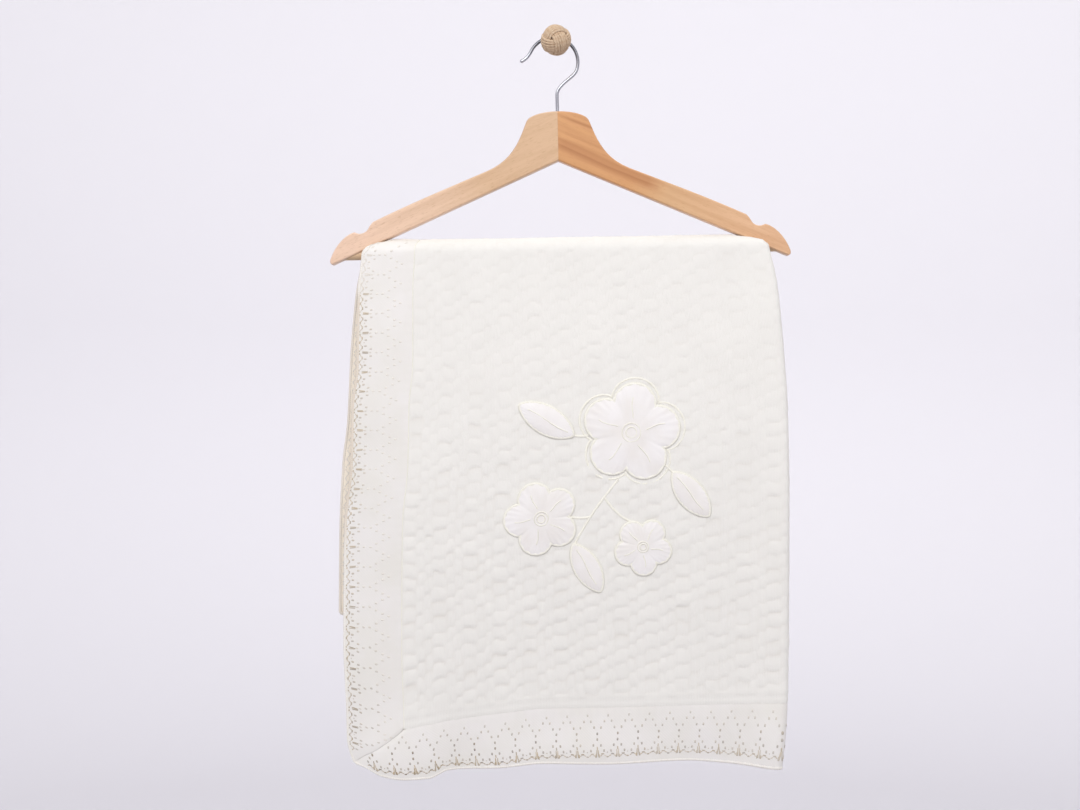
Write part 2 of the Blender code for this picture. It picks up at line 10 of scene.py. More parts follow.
import bmesh
import bpy
import numpy as np
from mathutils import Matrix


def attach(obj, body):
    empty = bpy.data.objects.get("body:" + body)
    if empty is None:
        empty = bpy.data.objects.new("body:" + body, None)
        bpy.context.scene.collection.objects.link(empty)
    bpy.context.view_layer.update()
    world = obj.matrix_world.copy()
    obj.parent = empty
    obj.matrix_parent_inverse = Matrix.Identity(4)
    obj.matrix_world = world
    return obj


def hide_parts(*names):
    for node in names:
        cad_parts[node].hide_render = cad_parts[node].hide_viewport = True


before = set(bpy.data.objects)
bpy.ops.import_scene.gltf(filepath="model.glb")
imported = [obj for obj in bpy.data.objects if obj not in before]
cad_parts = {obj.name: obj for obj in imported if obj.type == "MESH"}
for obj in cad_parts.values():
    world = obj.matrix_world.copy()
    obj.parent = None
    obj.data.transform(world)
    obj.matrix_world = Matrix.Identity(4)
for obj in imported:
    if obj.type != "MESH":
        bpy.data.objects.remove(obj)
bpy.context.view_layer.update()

# ================================================================ the knob's peg
# A turned beech peg with a round foot that is glued to the wall.  Only its foot and a little of the
# neck show behind the ball.


def linear(code):
    """Linear colour of an sRGB hex code: c/12.92 up to 0.04045, else ((c + 0.055)/1.055) to the 2.4."""
    value = np.array([int(code[place:place + 2], 16) for place in (1, 3, 5)]) / 255
    value = np.where(value <= 0.04045, value / 12.92, ((value + 0.055) / 1.055) ** 2.4)
    return (*value.tolist(), 1.0)


def add_node(tree, kind, inputs=None, stops=None, **settings):
    """One node: its settings, its inputs (a value, or a socket to link from), and a ramp's stops."""
    made = tree.nodes.new("ShaderNode" + kind)
    for name, value in settings.items():
        setattr(made, name, value)
    for name, value in (inputs or {}).items():
        if isinstance(value, bpy.types.NodeSocket):
            tree.links.new(value, made.inputs[name])
        else:
            made.inputs[name].default_value = value
    for number, (place, colour) in enumerate(stops or ()):
        elements = made.color_ramp.elements
        element = elements[number] if number < 2 else elements.new(place)
        element.position = place
        element.color = colour
    return made


def new_material(name, **sockets):
    """A material with a Principled shader, and the shader's own sockets set."""
    material = bpy.data.materials.new(name)
    material.use_nodes = True
    shader = material.node_tree.nodes["Principled BSDF"]
    for socket, value in sockets.items():
        shader.inputs[socket.replace("_", " ")].default_value = value
    return material, material.node_tree, shader


def show(name, mesh, material, stands_for=()):
    """The mesh as a piece that rides on the part, takes its finish from a slot and stands for nodes."""
    mesh.materials.clear()
    mesh.materials.append(material)
    piece = bpy.data.objects.new(name, mesh)
    bpy.context.collection.objects.link(piece)
    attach(piece, "root")
    if stands_for:
        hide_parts(*stands_for)
    return piece


def joined_copy(node, name, material, smooth_up_to=32.0):
    """A CAD node's mesh with its loose triangles merged into faces, and shaded smooth up to an angle."""
    shape = bmesh.new()
    shape.from_mesh(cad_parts[node].data)
    bmesh.ops.remove_doubles(shape, verts=shape.verts, dist=2e-6)
    bmesh.ops.dissolve_limit(shape, angle_limit=math.radians(0.4), verts=shape.verts, edges=shape.edges)
    mesh = bpy.data.meshes.new(name)
    shape.to_mesh(mesh)
    shape.free()
    mesh.shade_smooth()
    mesh.set_sharp_from_angle(angle=math.radians(smooth_up_to))
    piece = show(name, mesh, material, [node])
    weighted = piece.modifiers.new("flat faces stay flat", "WEIGHTED_NORMAL")
    weighted.keep_sharp = True
    return piece


# Turned beech, waxed: the eye gets a mid brown with fine turning marks round the peg, 0.2 mm apart.
turned_beech, tree, shader = new_material("turned beech, waxed", Roughness=0.5)
place = add_node(tree, "TexCoord")
rings = add_node(tree, "TexNoise", {"Vector": add_node(tree, "Mapping", {
    "Vector": place.outputs["Object"], "Scale": (150.0, 1000.0, 150.0)}).outputs[0], "Scale": 5.0,
    "Detail": 3.0})
tree.links.new(add_node(tree, "ValToRGB", {"Fac": rings.outputs["Fac"]}, stops=(
    (0.35, linear("#a98259")), (0.7, linear("#c9a47a")))).outputs[0], shader.inputs["Base Color"])
joined_copy("knob_peg", "turned_peg", turned_beech)

# ================================================================ the knob's ball
# A ball of soft jute twine, tied as three crossing bands of parallel turns, each band over one
# neighbour and under the other, round a wound core.
BALL_CENTRE = np.array([0.0, -0.038, 0.0])
BALL_RADIUS = 0.0150
TWINE_RADIUS = 0.00128
TURNS_IN_BAND = 6
TURN_SPACING = 0.00232
DIP_UNDER = 0.0024                # how far a band sinks where it passes under its neighbour
GATHER_UNDER = 0.10               # share by which its turns draw together there
TURN_WANDER = 0.00018             # how far a turn strays from its circle
CORE_RADIUS = 0.0112
TURN_STEPS, TWINE_SIDES = 72, 10
CORE_ROWS, CORE_SIDES = 20, 32
BALL_TURN = (0.62, -0.38, 0.30)   # how the tied ball sits on its peg, in radians about X, Y and Z


def grid_faces(rows, columns, close_rows=False, close_columns=False, first=0):
    """Quads over a grid of points, counted row by row, closed round in either direction if asked."""
    index = first + np.arange(rows * columns).reshape(rows, columns)
    if close_rows:
        index = np.concatenate([index, index[:1]])
    if close_columns:
        index = np.concatenate([index, index[:, :1]], axis=1)
    return np.stack([index[:-1, :-1], index[:-1, 1:], index[1:, 1:], index[1:, :-1]], -1).reshape(-1, 4)


def tube_faces(rows, sides, closed=False, first=0):
    """Faces of a tube of points, counted ring by ring: a closed loop, or one with a cap at each end."""
    last = first + (rows - 1) * sides
    caps = [list(range(first, first + sides))[::-1], list(range(last, last + sides))]
    return grid_faces(rows, sides, closed, True, first).tolist() + ([] if closed else caps)


def mesh_of(name, points, faces, smooth_up_to=60.0, uv=None, **attributes):
    """A smooth mesh of points and faces, with values per point: a UV pair and any named numbers."""
    mesh = bpy.data.meshes.new(name)
    mesh.from_pydata(np.reshape(points, (-1, 3)).tolist(), [], faces)
    mesh.shade_smooth()
    mesh.set_sharp_from_angle(angle=math.radians(smooth_up_to))
    for label, values in attributes.items():
        layer = mesh.attributes.new(label, "FLOAT", "POINT")
        layer.data.foreach_set("value", np.ravel(values).astype(np.float32))
    if uv is not None:
        corner = np.empty(len(mesh.loops), np.int32)
        mesh.loops.foreach_get("vertex_index", corner)
        layer = mesh.uv_layers.new(name="cloth")
        layer.data.foreach_set("uv", np.reshape(uv, (-1, 2))[corner].astype(np.float32).ravel())
    return mesh


def turned_about(angles):
    """Rotation matrix: about X, then Y, then Z."""
    (cx, cy, cz), (sx, sy, sz) = np.cos(angles), np.sin(angles)
    about_x = np.array([[1, 0, 0], [0, cx, -sx], [0, sx, cx]])
    about_y = np.array([[cy, 0, sy], [0, 1, 0], [-sy, 0, cy]])
    about_z = np.array([[cz, -sz, 0], [sz, cz, 0], [0, 0, 1]])
    return about_z @ about_y @ about_x


def tube_rings(centres, radius, sides, closed=False, up=(0.0, 1.0, 0.0)):
    """Rings of points round a path: centre + radius (cos a * side - sin a * front).

    `side` is square to the path and to `up`, and `front` is square to both.
    """
    along = np.gradient(centres, axis=0)
    if closed:
        along = np.roll(centres, -1, axis=0) - np.roll(centres, 1, axis=0)
    along /= np.linalg.norm(along, axis=1, keepdims=True)
    side = np.cross(along, np.broadcast_to(up, along.shape))
    side /= np.linalg.norm(side, axis=1, keepdims=True)
    front = np.cross(side, along)
    angle = np.arange(sides) * 2 * math.pi / sides
    radius = np.broadcast_to(np.asarray(radius, float), len(centres))[:, None, None]
    return centres[:, None] + radius * (np.cos(angle)[:, None] * side[:, None]
                                        - np.sin(angle)[:, None] * front[:, None])


def twine_band(number):
    """Turns of one band, each a closed ring on the ball about axis `number`.

    A turn at height h on the axis has radius sqrt(R^2 - h^2), less a soft dip of half a turn's
    period, so it passes under on two sides of the ball and over on the other two.
    """
    angle = np.linspace(0, 2 * math.pi, TURN_STEPS, endpoint=False)
    axes = np.roll(np.eye(3), number, axis=0)
    under = (0.5 - 0.5 * np.cos(2 * angle)) ** 1.6
    rings, seams = [], []
    for turn in range(TURNS_IN_BAND):
        height = (turn - (TURNS_IN_BAND - 1) / 2) * TURN_SPACING
        reach = BALL_RADIUS - TWINE_RADIUS - DIP_UNDER * under
        height = height * (1 - GATHER_UNDER * under)
        flat = np.sqrt(np.maximum(reach ** 2 - height ** 2, 0))
        wander = TURN_WANDER * np.sin(3 * angle + 2.1 * turn + number)
        centres = (np.outer(height + wander, axes[0])
                   + flat[:, None] * (np.outer(np.cos(angle), axes[1]) + np.outer(np.sin(angle), axes[2])))
        rings.append(tube_rings(centres, TWINE_RADIUS, TWINE_SIDES, closed=True, up=axes[0]))
        seams.append(np.stack(np.broadcast_arrays(np.linspace(0, 1, TWINE_SIDES, endpoint=False)[None],
                                                  np.linspace(0, 1, TURN_STEPS)[:, None]), -1))
    return rings, seams


def build_twine_ball():
    """The three bands round a wound core, all turned together and set on the peg."""
    points, faces, uv = [], [], []
    count = 0
    for number in range(3):
        for ring, seam in zip(*twine_band(number)):
            faces += tube_faces(*ring.shape[:2], True, count)
            points.append(ring.reshape(-1, 3))
            uv.append(seam.reshape(-1, 2))
            count += ring.shape[0] * ring.shape[1]
    tilt, spin = np.meshgrid(np.linspace(0.02, math.pi - 0.02, CORE_ROWS),
                             np.linspace(0, 2 * math.pi, CORE_SIDES, endpoint=False), indexing="ij")
    core = CORE_RADIUS * np.stack([np.sin(tilt) * np.cos(spin), np.sin(tilt) * np.sin(spin),
                                   np.cos(tilt)], -1)
    faces += [face[::-1] for face in tube_faces(CORE_ROWS, CORE_SIDES, False, count)]
    points.append(core.reshape(-1, 3))
    uv.append(np.stack([spin / 6.3, tilt / 3.2], -1).reshape(-1, 2))
    points = np.concatenate(points) @ turned_about(BALL_TURN).T + BALL_CENTRE
    return mesh_of("twine_ball", points, faces, uv=np.concatenate(uv))


# Natural jute, three-ply and matt: the eye gets soft slanting plies 3.4 mm apart and a little fibre.
jute, tree, shader = new_material("natural jute twine", Roughness=0.92)
seam = add_node(tree, "UVMap", uv_map="cloth")
plies = add_node(tree, "TexWave", {"Vector": add_node(tree, "Mapping", {
    "Vector": seam.outputs[0], "Scale": (0.478, 6.0, 1.0)}).outputs[0], "Scale": 2.0, "Distortion": 0.6,
    "Detail": 1.0}, bands_direction="DIAGONAL")
fibre = add_node(tree, "TexNoise", {"Vector": add_node(tree, "TexCoord").outputs["Object"],
                                    "Scale": 900.0, "Detail": 4.0})
both = add_node(tree, "Math", {0: plies.outputs["Fac"], 1: 0.30, 2: fibre.outputs["Fac"]},
                operation="MULTIPLY_ADD")
tree.links.new(add_node(tree, "ValToRGB", {"Fac": both.outputs[0]}, stops=(
    (0.35, linear("#bc9c7e")), (0.62, linear("#cdb395")), (0.90, linear("#d6c0a5")))).outputs[0],
    shader.inputs["Base Color"])
tree.links.new(add_node(tree, "Bump", {"Height": both.outputs[0], "Strength": 0.3,
                                       "Distance": 0.0003}).outputs[0], shader.inputs["Normal"])
show("twine_ball", build_twine_ball(), jute, ["knob_ball"])

# ================================================================ the hook
# Zinc-plated wire, 3.3 mm thick: a small bead at the tip, most of a circle over the peg, and a bent
# neck that goes down into the joint between the arms.
HANG_Y = -0.020                   # plane of the hook, the arms and the bar
HANGER_LEAN = math.radians(1.2)   # the hanger has swung a little, left arm down
HOOK_REST_Z = 0.006               # top of the wire where it lies over the peg
WIRE_RADIUS = 0.00165
HOOK_RADIUS = 0.024
HOOK_CENTRE = (-0.003, -0.018)
HOOK_TIP = (-0.0355, -0.0171)
HOOK_LEAD, HOOK_LEAVE = 150.0, -22.0
SHANK_TOP_Z = -0.050
SHANK_END_Z = -0.0840
TIP_BEAD = 0.0019
WIRE_SIDES = 20


def bezier(start, first, second, end, count):
    """Points of one cubic curve, without its last point."""
    t = np.linspace(0.0, 1.0, count, endpoint=False)[:, None]
    start, first, second, end = (np.array(point, float) for point in (start, first, second, end))
    return (start * (1 - t) ** 3 + 3 * first * t * (1 - t) ** 2
            + 3 * second * t * t * (1 - t) + end * t ** 3)


def leaned(flat):
    """Places (x, z) on the level hanger, put in its plane and swung about the top of the peg."""
    x, z = flat[:, 0], flat[:, 1] - HOOK_REST_Z
    cos, sin = math.cos(HANGER_LEAN), math.sin(HANGER_LEAN)
    return np.column_stack([x * cos - z * sin, np.full(len(x), HANG_Y), HOOK_REST_Z + x * sin + z * cos])


def build_hook():
    """Wire along its path, with a rounded tip that swells to a bead; its other end is in the wood."""
    def on_circle(degrees):
        turn = np.radians(degrees)
        return np.stack([HOOK_CENTRE[0] + HOOK_RADIUS * np.cos(turn),
                         HOOK_CENTRE[1] + HOOK_RADIUS * np.sin(turn)], -1)

    route = leaned(np.concatenate([
        bezier(HOOK_TIP, (-0.0290, -0.0150), (-0.0263, -0.0105), on_circle(HOOK_LEAD), 16),
        on_circle(np.linspace(HOOK_LEAD, HOOK_LEAVE, 60)[:-1]),
        bezier(on_circle(HOOK_LEAVE), (0.0165, -0.0335), (0.0, -0.0400), (0.0, SHANK_TOP_Z), 24),
        np.array([(0.0, z) for z in np.linspace(SHANK_TOP_Z, SHANK_END_Z, 8)]),
    ]))
    run = np.concatenate([[0], np.cumsum(np.linalg.norm(np.diff(route, axis=0), axis=1))])
    bead = 1 + (TIP_BEAD / WIRE_RADIUS - 1) * np.exp(-((run - 0.0016) / 0.0014) ** 2)
    cap = np.sqrt(np.clip(1 - (1 - np.clip(run / WIRE_RADIUS, 0, 1)) ** 2, 0.02, 1))
    rings = tube_rings(route, WIRE_RADIUS * bead * cap, WIRE_SIDES)
    return mesh_of("wire_hook", rings, tube_faces(len(route), WIRE_SIDES))


# Bright zinc on steel wire: a grey metal with soft streaks drawn along it, and darker near the knob,
# where the colour holds painted shade and a painted reflection of the ball.
zinc, tree, shader = new_material("bright zinc on steel wire", Metallic=1.0, Roughness=0.24)
place = add_node(tree, "TexCoord").outputs["Object"]
from_knob = add_node(tree, "VectorMath", {0: place, 1: tuple(BALL_CENTRE)}, operation="DISTANCE")
# Painted shade and painted reflection: the wire's colour darkens within 24 to 36 mm of the ball.
painted_shade_by_knob = add_node(tree, "MapRange", {"Value": from_knob.outputs["Value"], "From Min": 0.024,
                                     "From Max": 0.036})
tree.links.new(add_node(tree, "Mix", {0: painted_shade_by_knob.outputs[0], 6: linear("#6a6b71"), 7: linear("#c4c5ca")},
                        data_type="RGBA").outputs[2], shader.inputs["Base Color"])
drawn = add_node(tree, "TexNoise", {"Vector": place, "Scale": 420.0, "Detail": 2.0})
tree.links.new(add_node(tree, "MapRange", {"Value": drawn.outputs["Fac"], "To Min": 0.20,
                                           "To Max": 0.30}).outputs[0], shader.inputs["Roughness"])
show("wire_hook", build_hook(), zinc, ["hook"])

# ================================================================ the hanger
# Two sawn and sanded beech arms, finger-jointed on the middle line, with clear satin lacquer, and a
# dowel let into both.  The left arm is cut from pale sapwood, the right from redder, streaked wood.
ARM_FALL = 0.44                   # fall of the arms' lower edge, which the grain follows
ARM_REACH = 0.28                  # along the grain, from the top of the joint to an arm's tip
ARM_ROUND = 0.0018                # the CAD arms' eased edges end within this
GLUE_LINE = 0.00003               # half the gap left at the joint
BORE = 0.0022                     # the hook's bore ends within this of the hanger's plane
BEECH_SMOOTH = 32.0               # faces that meet at less than this, in degrees, are shaded smooth
# How dark the red arm's heartwood is, in shares: across the grain, over 50 mm from the arm's lower side
# up, and along it, from the joint to the tip.
HEARTWOOD_DEPTH = (-0.099, -0.049)
HEARTWOOD = ((0.00, 0.05), (0.12, 0.15), (0.20, 0.80), (0.235, 1.0), (0.26, 0.60), (0.33, 0.70),
             (0.38, 0.12), (0.45, 0.06), (0.48, 0.35), (0.53, 0.06), (0.72, 0.10), (0.765, 0.95),
             (0.82, 0.10))
HEARTWOOD_STRETCH = ((0.08, 0.0), (0.16, 1.0), (0.48, 1.0), (0.54, 0.0))


def beech(name, side, tones, dark, fleck, heartwood=()):
    """Lacquered beech whose grain runs down one arm, through three tones from the joint to the tip.

    Growth rings are long soft noise, 5 mm wide; the flecks are dark dashes, 0.9 by 6 mm; and the
    heartwood is a set of dark bands across the grain, bent by slow noise.
    """
    material, tree, shader = new_material(name, Roughness=0.42, Coat_Weight=0.18, Coat_Roughness=0.25)
    fall = -side * (math.atan(ARM_FALL) - HANGER_LEAN * side)
    grain = add_node(tree, "Mapping", {"Vector": add_node(tree, "TexCoord").outputs["Object"],
                                       "Rotation": (0.0, fall, 0.0)}).outputs[0]
    axes = add_node(tree, "SeparateXYZ", {"Vector": grain})
    rings, flecks, bend = (add_node(tree, "TexNoise", {"Vector": add_node(tree, "Mapping", {
        "Vector": grain, "Scale": scale}).outputs[0], "Scale": 1.0, "Detail": detail}).outputs["Fac"]
        for scale, detail in (((14.0, 60.0, 210.0), 4.0), ((170.0, 900.0, 1100.0), 2.0),
                              ((9.0, 9.0, 30.0), 2.0)))
    down = add_node(tree, "MapRange", {"Value": axes.outputs["X"], "From Max": (side or 1) * ARM_REACH})
    tone = add_node(tree, "ValToRGB", {"Fac": down.outputs[0]}, stops=[
        (at, linear(code)) for at, code in zip((0.42, 0.56, 0.90), tones)]).outputs[0]
    shares = [add_node(tree, "MapRange", {"Value": rings, "From Min": 0.40, "From Max": 0.64,
                                          "To Max": 0.30}).outputs[0],
              add_node(tree, "MapRange", {"Value": flecks, "From Min": 0.58, "From Max": 0.70,
                                          "To Max": fleck}).outputs[0]]
    if heartwood:
        bent = add_node(tree, "Math", {0: bend, 1: 0.008, 2: axes.outputs["Z"]}, operation="MULTIPLY_ADD")
        bands = add_node(tree, "ValToRGB", {"Fac": add_node(tree, "MapRange", {
            "Value": bent.outputs[0], "From Min": HEARTWOOD_DEPTH[0],
            "From Max": HEARTWOOD_DEPTH[1]}).outputs[0]}, stops=[
            (at, (share, share, share, 1.0)) for at, share in heartwood])
        stretch = add_node(tree, "ValToRGB", {"Fac": down.outputs[0]}, stops=[
            (at, (share, share, share, 1.0)) for at, share in HEARTWOOD_STRETCH])
        shares.append(add_node(tree, "Math", {0: bands.outputs[0], 1: stretch.outputs[0]},
                               operation="MULTIPLY").outputs[0])
    for share in shares:
        tone = add_node(tree, "Mix", {0: share, 6: tone, 7: linear(dark)}, data_type="RGBA").outputs[2]
    tree.links.new(tone, shader.inputs["Base Color"])
    tree.links.new(add_node(tree, "Bump", {"Height": flecks, "Strength": 0.12,
                                           "Distance": 0.0003}).outputs[0], shader.inputs["Normal"])
    return material


def close_joint(arm):
    """Take the eased edge off the glued joint: places near its plane, but for the bore's, move to it."""
    place = np.empty(3 * len(arm.data.vertices), np.float32)
    arm.data.vertices.foreach_get("co", place)
    place = place.reshape(-1, 3)
    cos, sin = math.cos(HANGER_LEAN), math.sin(HANGER_LEAN)
    beside = place[:, 0] * cos + (place[:, 2] - HOOK_REST_Z) * sin
    near = (np.abs(beside) < ARM_ROUND) & (np.abs(place[:, 1] - HANG_Y) > BORE)
    shift = np.where(near, np.sign(beside) * GLUE_LINE - beside, 0.0)
    place[:, 0] += shift * cos
    place[:, 2] += shift * sin
    arm.data.vertices.foreach_set("co", place.ravel())
    arm.data.set_sharp_from_angle(angle=math.radians(BEECH_SMOOTH))


PALE_BEECH = beech("pale beech, lacquered", -1, ("#dab58f", "#e6c3a3", "#eeccb1"), "#bd936a", 0.5)
RED_BEECH = beech("red beech, lacquered", 1, ("#d89f68", "#d7ab7c", "#e4b88f"), "#b57846", 0.3, HEARTWOOD)
close_joint(joined_copy("arm_left", "hanger_arm_left", PALE_BEECH))
close_joint(joined_copy("arm_right", "hanger_arm_right", RED_BEECH))

# The bar is a dowel of the same pale beech, with its grain level.
bar_wood = beech("pale beech dowel", 0, ("#dcbd98", "#dcbd98", "#dcbd98"), "#b68a62", 0.4)
bar = joined_copy("trouser_bar", "trouser_dowel", bar_wood)

# ================================================================ the blanket's knit panel
# A puffy cotton knit, one flat rectangle folded in half at its right side and laid over the bar.  Its
# face is knitted in columns of small pillows, one wide column and two narrow ones in turn, whose tucks
# stand a third of a pillow apart.
CLOTH = 0.0026                    # thickness of the knit and of the lined border
PLY_GAP = 0.0010                  # air between the two plies
EDGE_ROOM = 0.0020                # between the inner ply and the flat sides of the arms
ARM_THICKNESS = 0.0135
BAR_RADIUS = 0.00525
BAR_Z = -0.2016
WIDTH = 0.852                     # the flat blanket, edge to edge
FRONT_RUN = 0.500                 # from the front hem up to the bar's middle
OVER_RUN = 0.034                  # half round over the bar
BACK_RUN = 0.357                  # from the bar's middle down to the back hem
LENGTH = FRONT_RUN + OVER_RUN + BACK_RUN
FRONT_HEM_Z = -0.701
BACK_HEM_Z = -0.558
BORDER = 0.056                    # width of the satin border

# Edges of the double cloth along its run, and how far both are pushed in beside the arms.
Reach = namedtuple("Reach", "run left right pinch")
REACHES = tuple(Reach(*row) for row in (
    (-0.500, -0.1960, 0.2170, 0.0), (-0.472, -0.2020, 0.2200, 0.0), (-0.436, -0.2030, 0.2230, 0.0),
    (-0.373, -0.2058, 0.2240, 0.0), (-0.267, -0.2050, 0.2244, 0.0), (-0.207, -0.1990, 0.2240, 0.0),
    (-0.148, -0.1975, 0.2225, 0.0), (-0.112, -0.1932, 0.2200, 0.0), (-0.038, -0.1918, 0.2130, 0.0),
    (0.000, -0.1890, 0.2060, 0.0010), (0.005, -0.1890, 0.2055, 0.0050), (0.0085, -0.1890, 0.2050, 0.0140),
    (0.0115, -0.1890, 0.2050, 0.0265), (0.017, -0.1890, 0.2050, 0.0290), (0.0225, -0.1890, 0.2050, 0.0265),
    (0.0255, -0.1890, 0.2050, 0.0140), (0.029, -0.1895, 0.2055, 0.0050), (0.034, -0.1900, 0.2060, 0.0010),
    (0.074, -0.1962, 0.2110, 0.0), (0.125, -0.2008, 0.2150, 0.0), (0.199, -0.2045, 0.2180, 0.0),
    (0.239, -0.2090, 0.2180, 0.0), (0.306, -0.2120, 0.2170, 0.0), (0.391, -0.2128, 0.2160, 0.0),
))
PINCH_ZONE = 0.090                # width next to each edge that the pinch gathers
PINCH_RIGHT = 1.18                # the right arm sits lower over the bar, and pushes in this much more

# How far the front hem, and the seam above it, hang below their mean line.
Droop = namedtuple("Droop", "across hem seam")
DROOPS = tuple(Droop(*row) for row in (
    (0.000, -0.0030, 0.0060), (0.012, 0.0010, 0.0090), (0.030, 0.0095, 0.0160),
    (0.052, 0.0126, 0.0195), (0.075, 0.0118, 0.0160), (0.095, 0.0042, 0.0120),
    (0.145, 0.0020, 0.0050), (0.190, -0.0025, 0.0000), (0.250, -0.0020, -0.0010),
    (0.330, -0.0050, -0.0030), (0.370, -0.0025, -0.0040), (0.426, 0.0030, -0.0050),
    (0.470, -0.0015, -0.0040), (0.520, -0.0062, -0.0030), (0.620, -0.0052, 0.0000),
    (0.852, -0.0052, 0.0000),
))
DROOP_FADE = 0.160                # height above the seam over which the droop dies out

# Soft hollows and swellings of each half, and how far out each stands.
Swell = namedtuple("Swell", "x z half_width half_height out")
FRONT_SWELLS = tuple(Swell(*row) for row in (
    (-0.150, -0.700, 0.034, 0.040, 0.0070), (-0.088, -0.705, 0.022, 0.045, -0.0040),
    (0.020, -0.690, 0.080, 0.022, 0.0032), (0.140, -0.700, 0.050, 0.028, -0.0030),
    (0.214, -0.690, 0.020, 0.040, 0.0030), (0.030, -0.440, 0.170, 0.140, 0.0040),
    (-0.200, -0.480, 0.030, 0.110, -0.0030), (-0.120, -0.330, 0.050, 0.090, -0.0015),
    (0.175, -0.340, 0.045, 0.110, 0.0020),
))
BACK_SWELLS = tuple(Swell(*row) for row in (
    (-0.150, -0.540, 0.060, 0.050, 0.0030), (0.010, -0.560, 0.060, 0.040, -0.0040),
    (0.150, -0.540, 0.060, 0.060, 0.0025), (0.060, -0.360, 0.120, 0.090, -0.0030),
))
SWELL_START = 0.110               # depth below the bar at which the swells reach full strength
# The fold at the right: its radius beside the bar and lower down, and how far its fullness reaches.
FOLD_RADIUS_AT_BAR = 0.5 * (CLOTH + PLY_GAP)
FOLD_RADIUS = 0.0042
FOLD_FULL_DEPTH = 0.070
FOLD_REACH = 0.036
CREST_ROOM_LEFT = 0.0024          # air between the bar and the inner ply, at the crest's two ends
CREST_ROOM_RIGHT = 0.0006
SHORT_STEP = 0.0002               # for measuring which way the cloth faces


def through(rows, column, places):
    """A smooth curve through one column of a table, with harmonic-mean slopes and no overshoot."""
    at = np.array([row[0] for row in rows])
    value = np.array([getattr(row, column) for row in rows])
    side = np.diff(value) / np.diff(at)
    product = side[:-1] * side[1:]
    total = np.where(np.abs(side[:-1] + side[1:]) < 1e-12, 1.0, side[:-1] + side[1:])
    slope = np.concatenate(([side[0]], np.where(product > 0, 2 * product / total, 0.0), [side[-1]]))
    left = np.clip(np.searchsorted(at, places) - 1, 0, len(at) - 2)
    span = at[left + 1] - at[left]
    t = np.clip((places - at[left]) / span, 0.0, 1.0)
    return (value[left] * (1 + 2 * t) * (1 - t) ** 2 + value[left + 1] * t * t * (3 - 2 * t)
            + slope[left] * span * t * (1 - t) ** 2 - slope[left + 1] * span * t * t * (1 - t))


def ease(t):
    """Nought to one, with level ends: 3t^2 - 2t^3."""
    t = np.clip(t, 0.0, 1.0)
    return t * t * (3 - 2 * t)


def bar_height(x):
    """Height of the bar's middle line at x, on the leaning hanger."""
    drop = BAR_Z - HOOK_REST_Z
    middle_x = -drop * math.sin(HANGER_LEAN)
    middle_z = HOOK_REST_Z + drop * math.cos(HANGER_LEAN)
    return middle_z + (x - middle_x) * math.tan(HANGER_LEAN)


def swelling(swells, x, z):
    """Sum of the soft swells: out * exp(-((x - sx)/w)^2 - ((z - sz)/h)^2)."""
    total = np.zeros_like(x)
    for swell in swells:
        away = ((x - swell.x) / swell.half_width) ** 2 + ((z - swell.z) / swell.half_height) ** 2
        total += swell.out * np.exp(-away)
    return total


def below_bar(along):
    """How far below the bar a place hangs, down either half of the blanket: nought over the bar."""
    run = along - FRONT_RUN
    return np.where(run < 0, -run, np.maximum(run - OVER_RUN, 0.0))


